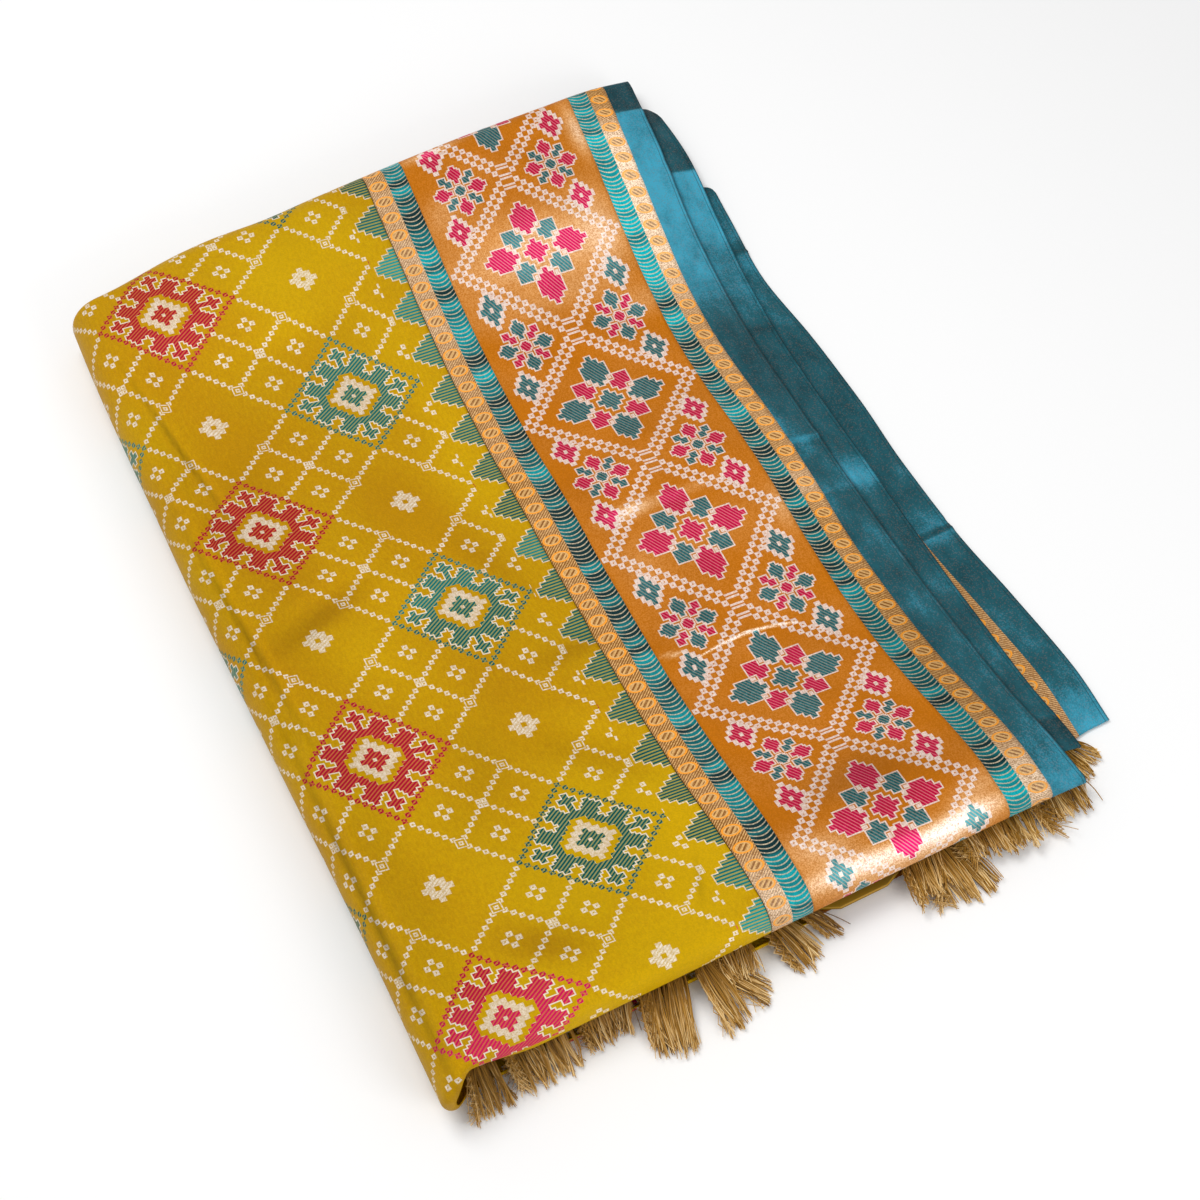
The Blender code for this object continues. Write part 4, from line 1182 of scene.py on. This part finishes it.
def folded_layers_material():
    """The hidden layers' folded ends: thin cloth edges one above another, golden, then orange, then teal,
    with painted shade in bands between them.
    """
    material = bpy.data.materials.new("folded_layers")
    material.use_nodes = True
    tree = material.node_tree
    shader = tree.nodes["Principled BSDF"]
    place = tree.nodes.new("ShaderNodeTexCoord")
    split = tree.nodes.new("ShaderNodeSeparateXYZ")
    tree.links.new(place.outputs["Object"], split.inputs["Vector"])
    waves = tree.nodes.new("ShaderNodeTexWave")
    waves.bands_direction = "Z"
    waves.inputs["Scale"].default_value = 210.0
    waves.inputs["Distortion"].default_value = 1.4
    waves.inputs["Detail"].default_value = 1.0
    waves.inputs["Detail Scale"].default_value = 0.12
    tree.links.new(place.outputs["Object"], waves.inputs["Vector"])
    ramp = tree.nodes.new("ShaderNodeValToRGB")
    ramp.color_ramp.interpolation = "CONSTANT"
    ramp.color_ramp.elements[0].color = (*GOLDEN_FOLDS, 1.0)
    ramp.color_ramp.elements[1].position = 0.68
    ramp.color_ramp.elements[1].color = (*ORANGE_FOLDS, 1.0)
    ramp.color_ramp.elements.new(0.77).color = (*TEAL_FOLDS, 1.0)
    across = tree.nodes.new("ShaderNodeMapRange")
    across.inputs["From Min"].default_value = -0.16
    across.inputs["From Max"].default_value = 0.16
    tree.links.new(split.outputs["X"], across.inputs["Value"])
    tree.links.new(across.outputs["Result"], ramp.inputs["Fac"])
    # Painted shade in the gaps between the stacked edges
    shade = tree.nodes.new("ShaderNodeMapRange")
    shade.inputs["To Min"].default_value = 0.42
    shade.inputs["To Max"].default_value = 1.0
    tree.links.new(waves.outputs["Fac"], shade.inputs["Value"])
    dim = tree.nodes.new("ShaderNodeVectorMath")
    dim.operation = "SCALE"
    tree.links.new(ramp.outputs["Color"], dim.inputs[0])
    tree.links.new(shade.outputs["Result"], dim.inputs["Scale"])
    tree.links.new(dim.outputs["Vector"], shader.inputs["Base Color"])
    bump = tree.nodes.new("ShaderNodeBump")
    bump.inputs["Strength"].default_value = 0.8
    bump.inputs["Distance"].default_value = 0.0006
    tree.links.new(waves.outputs["Fac"], bump.inputs["Height"])
    tree.links.new(bump.outputs["Normal"], shader.inputs["Normal"])
    shader.inputs["Roughness"].default_value = 0.5
    return material


def thread_material():
    """Twisted golden brown thread: each strand's own tone goes along it, with painted shade toward its root
    and painted light toward its tip.
    """
    material = bpy.data.materials.new("tassel_thread")
    material.use_nodes = True
    tree = material.node_tree
    shader = tree.nodes["Principled BSDF"]
    tone = tree.nodes.new("ShaderNodeAttribute")
    tone.attribute_name = "tone"
    ramp = tree.nodes.new("ShaderNodeValToRGB")
    ramp.color_ramp.elements[0].color = (*THREAD_DARK, 1.0)
    ramp.color_ramp.elements[1].color = (*THREAD_LIGHT, 1.0)
    ramp.color_ramp.elements.new(0.5).color = (*THREAD_BROWN, 1.0)
    tree.links.new(tone.outputs["Fac"], ramp.inputs["Fac"])
    tree.links.new(ramp.outputs["Color"], shader.inputs["Base Color"])
    shader.inputs["Roughness"].default_value = 0.5
    shader.inputs["Specular IOR Level"].default_value = 0.25
    return material


# Rows and columns of the cloth grids
FLAT_ROWS = 230
ROLL_ROWS = 10
LAYER_ROWS = 300
UNDER_COLUMNS = 8
TURN_COLUMNS = 30
TOP_COLUMNS = 90
# A row's or column's code is the number of its part plus this much of its share along that part
CODE_SHARE = 0.999
CLOTH_THICK = 0.5
LOWEST_THICK = 0.8
# Widths of the cloth that is hidden under the parcel, and of the two lower layers
UNDER_WIDE = 150.0
MIDDLE_WIDE = 37.0
LOWEST_WIDE = 142.0
# How far the lower layers' weave is shifted along, so that their unevenness differs
MIDDLE_SHIFT = 500.0
LOWEST_SHIFT = 1000.0


def lines_between(first, last, count):
    return [blend(first, last, i / count) for i in range(count + 1)]


def end_rows():
    """Row codes of the outer cloth: part 0 is the near roll, 1 the length of the parcel, 2 the far roll."""
    rows = [(1.0 - i / ROLL_ROWS) * CODE_SHARE for i in range(ROLL_ROWS)]
    rows += [1.0 + i / FLAT_ROWS * CODE_SHARE for i in range(FLAT_ROWS + 1)]
    rows += [2.0 + (i + 1) / ROLL_ROWS * CODE_SHARE for i in range(ROLL_ROWS)]
    return rows


def read_rows(rows):
    """The rows' parts, and their shares along them."""
    end = np.floor(rows).astype(int)
    return end, (rows - end) / CODE_SHARE


def corner_inset(from_edge):
    """How far a rounded corner stands back from a straight end."""
    into = np.clip(1.0 - from_edge / CORNER_ROUND, 0.0, 1.0)
    return CORNER_ROUND * (1.0 - np.sqrt(1.0 - into * into))


def build_field(material):
    """The body cloth in one piece: part 0 lies under the parcel, 1 goes round its fold, 2 lies on top."""
    columns = [i / UNDER_COLUMNS for i in range(UNDER_COLUMNS)]
    columns += [1.0 + i / TURN_COLUMNS for i in range(TURN_COLUMNS)]
    columns += [2.0 + i / TOP_COLUMNS * CODE_SHARE for i in range(TOP_COLUMNS + 1)]

    def place(column, row):
        part = np.floor(column).astype(int)
        share = column - part
        share = np.where(part == 2, share / CODE_SHARE, share)
        end, row_share = read_rows(row)

        def pick(under, turned, top):
            return np.where(part == 0, under, np.where(part == 1, turned, top))

        def section_at(along):
            turn = line_at("turn", along)
            under = under_section(blend(UNDER_SEAM - GAP, turn, share), along)
            turned = turn_section(share, along)
            top = top_section(blend(turn, woven_at("strip", along) - GAP, share), along)
            across, height, near_roll, far_roll = (pick(under[i], turned[i], top[i]) for i in (0, 1, 3, 4))
            out = tuple(pick(under[2][i], turned[2][i], top[2][i]) for i in (0, 1))
            return across, height, out, near_roll, far_roll

        points, along = rolled_points(section_at, end, row_share)
        shoulder = line_at("turn", along)
        strip = woven_at("strip", along)
        on_top = blend(shoulder, strip, share) - strip
        round_turn = shoulder - strip - math.pi * TURN_REACH * (1.0 - share)
        below = shoulder - strip - math.pi * TURN_REACH - (1.0 - share) * UNDER_WIDE
        across = pick(below, round_turn, on_top)
        u = across + lattice_drift(across, along)
        return points, np.stack([u, weave_place(u, along), temple_place(across, along)], axis=-1)

    field = grid_piece("field_cloth_look", columns, end_rows(), place, field_tones, CLOTH_THICK,
                       material)
    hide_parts("field_cloth")


def build_stretch(name, first, last, steps, material, places, tones):
    """A stretch of the top cloth between two woven lines."""
    def place(share, row):
        end, row_share = read_rows(row)

        def section_at(along):
            return top_section(blend(woven_at(first, along), woven_at(last, along), share), along)

        points, along = rolled_points(section_at, end, row_share)
        return points, places(share, points[..., 0], along)

    return grid_piece(name, lines_between(0.0, 1.0, steps), end_rows(), place, tones, CLOTH_THICK,
                      material)


def build_border(band, strips):
    """The top layer's border: the orange band, and a gold and a scalloped strip on each side of it."""
    def band_places(share, across, along):
        wide = woven_at("band_end", along) - woven_at("band", along)
        return np.stack([(share - 0.5) * wide, flower_place(across, along)], axis=-1)

    def strip_level(across, along):
        return temple_place(across - woven_at("strip", along), along)

    def inner_places(share, across, along):
        return np.stack([share * 2 * STRIP_WIDE, strip_level(across, along)], axis=-1)

    def outer_places(share, across, along):
        return np.stack([(1.0 - share) * 2 * STRIP_WIDE, strip_level(across, along)], axis=-1)

    inner_tones = shine_tones(INNER_SHINE, STRIP_UNEVEN)
    outer_tones = shine_tones(OUTER_SHINE, STRIP_UNEVEN, lights=OUTER_LIGHT)
    middle = build_stretch("border_band", "band", "band_end", 54, band, band_places, band_tones)
    inner = build_stretch("border_inner_strips", "strip", "band", 10, strips, inner_places,
                          inner_tones)
    outer = build_stretch("border_outer_strips", "band_end", "selvedge", 10, strips, outer_places,
                          outer_tones)
    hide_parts("border_cloth")


def build_selvedges(material):
    """The plain teal edges of the top layer and of the middle one, which lies a wall lower and fans out."""
    def top_places(share, across, along):
        return np.stack([line_at("edge", along) - across, along], axis=-1)

    top = build_stretch("selvedge_top_look", "selvedge", "edge", 14, material, top_places,
                        shine_tones(TOP_SHINE, TEAL_UNEVEN))
    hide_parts("selvedge_top")

    def middle_place(share, row):
        far = MIDDLE_FAR - corner_inset(MIDDLE_WIDE * (1.0 - share))
        along = blend(MIDDLE_NEAR, far, row)
        across = blend(line_at("selvedge", along) - MIDDLE_LAP, line_at("middle_edge", along), share)
        edge = line_at("edge", along)
        start = smooth_top(edge, along) - WALL - GAP
        fall = np.maximum(0.0, (across - edge) / (line_at("middle_edge", along) - edge))
        height = np.where(across <= edge, smooth_top(across, along) - WALL - GAP,
                          blend(start, MIDDLE_EDGE_HEIGHT, ease(fall)))
        height = height + crease_lift(across, along, MIDDLE_CREASES) * np.clip(fall * 6.0, 0.0, 1.0)
        weave = np.stack([line_at("middle_edge", along) - across, along + MIDDLE_SHIFT], axis=-1)
        return np.stack([across, along, height], axis=-1), weave

    tones = shine_tones(MIDDLE_SHINE, TEAL_UNEVEN, under="edge")
    columns = lines_between(0.0, 1.0, 48)
    rows = lines_between(0.0, 1.0, LAYER_ROWS)
    middle = grid_piece("selvedge_middle_look", columns, rows, middle_place, tones, CLOTH_THICK,
                        material)
    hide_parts("selvedge_middle")


def build_lowest(material):
    """The lowest layer, from under the parcel's middle out to its edge, where it is shorter."""
    def place(share, row):
        out = ease((share - 0.45) / 0.5)
        far = LOWEST_FAR - corner_inset(LOWEST_WIDE * (1.0 - share))
        along = blend(blend(HIDDEN_NEAR, LOWEST_NEAR, out), blend(HIDDEN_FAR, far, out), row)
        across = blend(UNDER_SEAM, line_at("lowest_edge", along), share)
        height = WALL + crease_lift(across, along, LOWEST_CREASES)
        weave = np.stack([line_at("lowest_edge", along) - across, along + LOWEST_SHIFT], axis=-1)
        return np.stack([across, along, height], axis=-1), weave

    columns = lines_between(0.0, 0.8, 20)[:-1] + lines_between(0.8, 1.0, 40)
    tones = shine_tones(LOWEST_SHINE, TEAL_UNEVEN, under="middle_edge")
    lowest = grid_piece("border_lowest_look", columns, lines_between(0.0, 1.0, LAYER_ROWS), place, tones,
                        LOWEST_THICK, material)
    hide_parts("border_lowest")


# Tassels: the spans of their roots and tips across, how far the tips reach at each side, how many threads,
# the cloth's front edge and height at their roots, and how high their tips are lifted
TASSEL_COLUMNS = ("node", "root_from", "root_to", "tip_from", "tip_to", "reach_from", "reach_to",
                  "threads", "front", "height", "tip_lift")
TASSELS = (
    ("corner", -143.0, -131.5, -148.0, -129.5, -186.0, -183.0, 150, -166.4, 8.3, 0.0),
    ("long_left", -128.5, -101.0, -127.0, -100.0, -182.0, -182.5, 300, -166.4, 8.3, 0.0),
    ("short_left", -97.0, -71.5, -96.0, -75.5, -178.5, -178.5, 240, -166.4, 8.3, 0.0),
    ("full", -68.0, -47.5, -73.5, -57.0, -190.0, -197.0, 280, -166.4, 8.3, 0.0),
    ("swept", -45.0, -38.5, -43.0, -33.0, -198.0, -194.0, 120, -166.4, 8.3, 0.0),
    ("tuft", -46.0, -39.5, -26.0, -19.5, -193.5, -187.0, 100, -166.4, 6.2, 0.0),
    ("comb", -36.0, -19.5, -37.0, -21.5, -178.0, -181.5, 180, -166.4, 8.3, 4.2),
    ("loose", -12.5, -3.0, -6.5, 7.5, -188.5, -184.0, 140, -166.4, 8.3, 0.0),
    ("loose_side", 0.5, 4.5, 11.5, 18.5, -181.5, -180.0, 60, -166.4, 8.3, 0.6),
    ("thick", 51.0, 70.5, 49.5, 66.5, -187.0, -183.5, 240, -166.4, 8.3, 4.2),
    ("under_thick", 59.0, 76.0, 57.0, 86.0, -190.5, -193.5, 220, -166.4, 6.2, 0.0),
    ("band_comb", 73.5, 109.0, 76.0, 109.0, -179.0, -184.0, 380, -166.4, 8.3, 4.4),
    ("selvedge_comb", 112.0, 134.5, 113.5, 137.5, -181.5, -178.0, 240, -166.4, 8.3, 1.6),
    ("fold_tuft", 136.5, 145.5, 141.0, 155.0, -170.0, -160.0, 110, -153.6, 2.55, 0.0),
)
THREAD_STEPS = 7
THREAD_HALF = 0.2
THREADS_A_YARN = 6
ROOT_DEPTH = 3.0


def thread_route(row, chance, share, yarn):
    """A thread's root, tip, sideways wave, curl and tone, near those of the yarn that it belongs to."""
    middle, splay, reach, wave, tone = yarn
    root = Vector((blend(row["root_from"], row["root_to"], share), row["front"] + ROOT_DEPTH,
                   row["height"] + chance.uniform(-1.3, 1.3)))
    stray = 2.8 if chance.random() < 0.10 else 0.4
    gathered = blend(share, middle, 0.45)
    tip = Vector((blend(row["tip_from"], row["tip_to"], gathered) + splay + chance.gauss(0.0, stray),
                  blend(row["reach_from"], row["reach_to"], share) + reach + chance.gauss(0.0, 0.8),
                  0.4 + row["tip_lift"] + chance.random() * 2.4))
    wave += chance.gauss(0.0, 0.3)
    curl = chance.uniform(-0.4, 0.4)
    tone += chance.gauss(0.0, 0.15)
    return root, tip, wave, curl, tone


def build_tassel(row, material, number):
    """Fine threads in twisted yarns that leave the cloth's end, sink and fan out on the surface."""
    row = dict(zip(TASSEL_COLUMNS, row))
    chance = random.Random(40 + number)
    mesh = bmesh.new()
    bmesh.ops.create_grid(mesh, x_segments=row["threads"], y_segments=1, size=1.0)
    bmesh.ops.split_edges(mesh, edges=mesh.edges[:])
    faces = sorted(mesh.faces, key=lambda face: face.calc_center_median().x)
    tones = mesh.verts.layers.float.new("tone")
    routes = []
    for i in range(len(faces)):
        if i % THREADS_A_YARN == 0:
            middle = (i + THREADS_A_YARN / 2) / row["threads"]
            yarn = (middle, chance.gauss(0.0, 1.2), chance.gauss(0.0, 1.7), chance.gauss(0.0, 0.9),
                    chance.gauss(0.52, 0.10))
        share = (i + chance.random()) / row["threads"]
        routes.append(thread_route(row, chance, share, yarn))
    square = ((-1, -1), (1, -1), (1, 1), (-1, 1))
    # Each strand's tone, with painted shade darkest at its root under the cloth's edge and painted light
    # toward its tip
    for face, (root, _, _, _, tone) in zip(faces, routes):
        for vertex, (x, z) in zip(face.verts, square):
            vertex.co = root + Vector((x * THREAD_HALF, 0.0, z * THREAD_HALF))
            vertex[tones] = tone * 0.3
    for step in range(1, THREAD_STEPS + 1):
        share = step / THREAD_STEPS
        faces = bmesh.ops.extrude_discrete_faces(mesh, faces=faces)["faces"]
        for face, (root, tip, wave, curl, tone) in zip(faces, routes):
            bend = math.sin(share * math.pi) * wave * 1.3 + math.sin(share * 7.0) * curl
            point = Vector((blend(root.x, tip.x, share) + bend,
                            blend(root.y, tip.y, share),
                            max(THREAD_HALF * 1.5, blend(root.z, tip.z, share ** 1.6))))
            half = THREAD_HALF * (1.0 - 0.3 * share)
            for vertex, (x, z) in zip(face.verts, square):
                vertex.co = point + Vector((x * half, 0.0, z * half))
                vertex[tones] = tone * blend(0.35, 1.25, share ** 0.8)
    data = bpy.data.meshes.new("tassel_" + row["node"] + "_threads")
    for vertex in mesh.verts:
        vertex.co = (vertex.co - Vector((CENTRE_ACROSS, CENTRE_ALONG, 0.0))) * MM
    mesh.to_mesh(data)
    mesh.free()
    data.materials.append(material)
    piece = bpy.data.objects.new(data.name, data)
    bpy.context.scene.collection.objects.link(piece)
    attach(piece, "root")
    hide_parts("tassel_" + row["node"])


def dress_hidden_folds(material):
    """The hidden layers keep their solid, with a finish of their own."""
    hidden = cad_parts["inner_folds"]
    hidden.data.materials.clear()
    hidden.data.materials.append(material)


def set_floor_and_light():
    """A plain pale floor, and soft light from above and the front."""
    bpy.ops.mesh.primitive_plane_add(size=6.0, location=(0.0, 0.0, -0.0002))
    floor = bpy.context.object
    floor.name = "Floor"
    pale = bpy.data.materials.new("floor")
    pale.use_nodes = True
    pale.node_tree.nodes["Principled BSDF"].inputs["Base Color"].default_value = (0.97, 0.97, 0.97, 1.0)
    pale.node_tree.nodes["Principled BSDF"].inputs["Roughness"].default_value = 0.9
    floor.data.materials.append(pale)
    world = bpy.data.worlds.new("Studio")
    bpy.context.scene.world = world
    world.use_nodes = True
    world.node_tree.nodes["Background"].inputs["Color"].default_value = (1.0, 1.0, 1.0, 1.0)
    world.node_tree.nodes["Background"].inputs["Strength"].default_value = 0.5
    lights = (("Key", (-0.30, 0.30, 1.15), 0.6, 8.0), ("Front", (0.35, -0.95, 0.55), 0.5, 3.0))
    for name, place, size, power in lights:
        light = bpy.data.lights.new(name, "AREA")
        light.size = size
        light.energy = power
        lamp = bpy.data.objects.new(name, light)
        lamp.location = place
        lamp.rotation_mode = "QUATERNION"
        lamp.rotation_quaternion = (-Vector(place)).to_track_quat("-Z", "Y")
        bpy.context.scene.collection.objects.link(lamp)
    bpy.context.scene.view_settings.view_transform = "Standard"


# The camera's angle above the surface and its turn, in degrees, its distance in metres, and its lens
CAMERA_RISE = 60.9
CAMERA_TURN = 26.9
CAMERA_AWAY = 0.9828
CAMERA_LENS = 67.5


def set_camera():
    """The camera at the photo's angle."""
    camera = bpy.data.objects.new("Camera", bpy.data.cameras.new("Camera"))
    camera.data.sensor_width = 36.0
    camera.data.lens = CAMERA_LENS
    rise = math.radians(CAMERA_RISE)
    turn = math.radians(CAMERA_TURN)
    look = Vector((math.sin(turn) * math.cos(rise), math.cos(turn) * math.cos(rise), -math.sin(rise)))
    camera.location = -look * CAMERA_AWAY - Vector((CENTRE_ACROSS, CENTRE_ALONG, 0.0)) * MM
    camera.rotation_mode = "QUATERNION"
    camera.rotation_quaternion = look.to_track_quat("-Z", "Y")
    bpy.context.scene.collection.objects.link(camera)
    bpy.context.scene.camera = camera


build_field(field_material())
build_border(band_material(), strips_material())
build_selvedges(selvedge_material())
build_lowest(lowest_material())
dress_hidden_folds(folded_layers_material())
thread = thread_material()
for number, row in enumerate(TASSELS):
    build_tassel(row, thread, number)
set_floor_and_light()
set_camera()
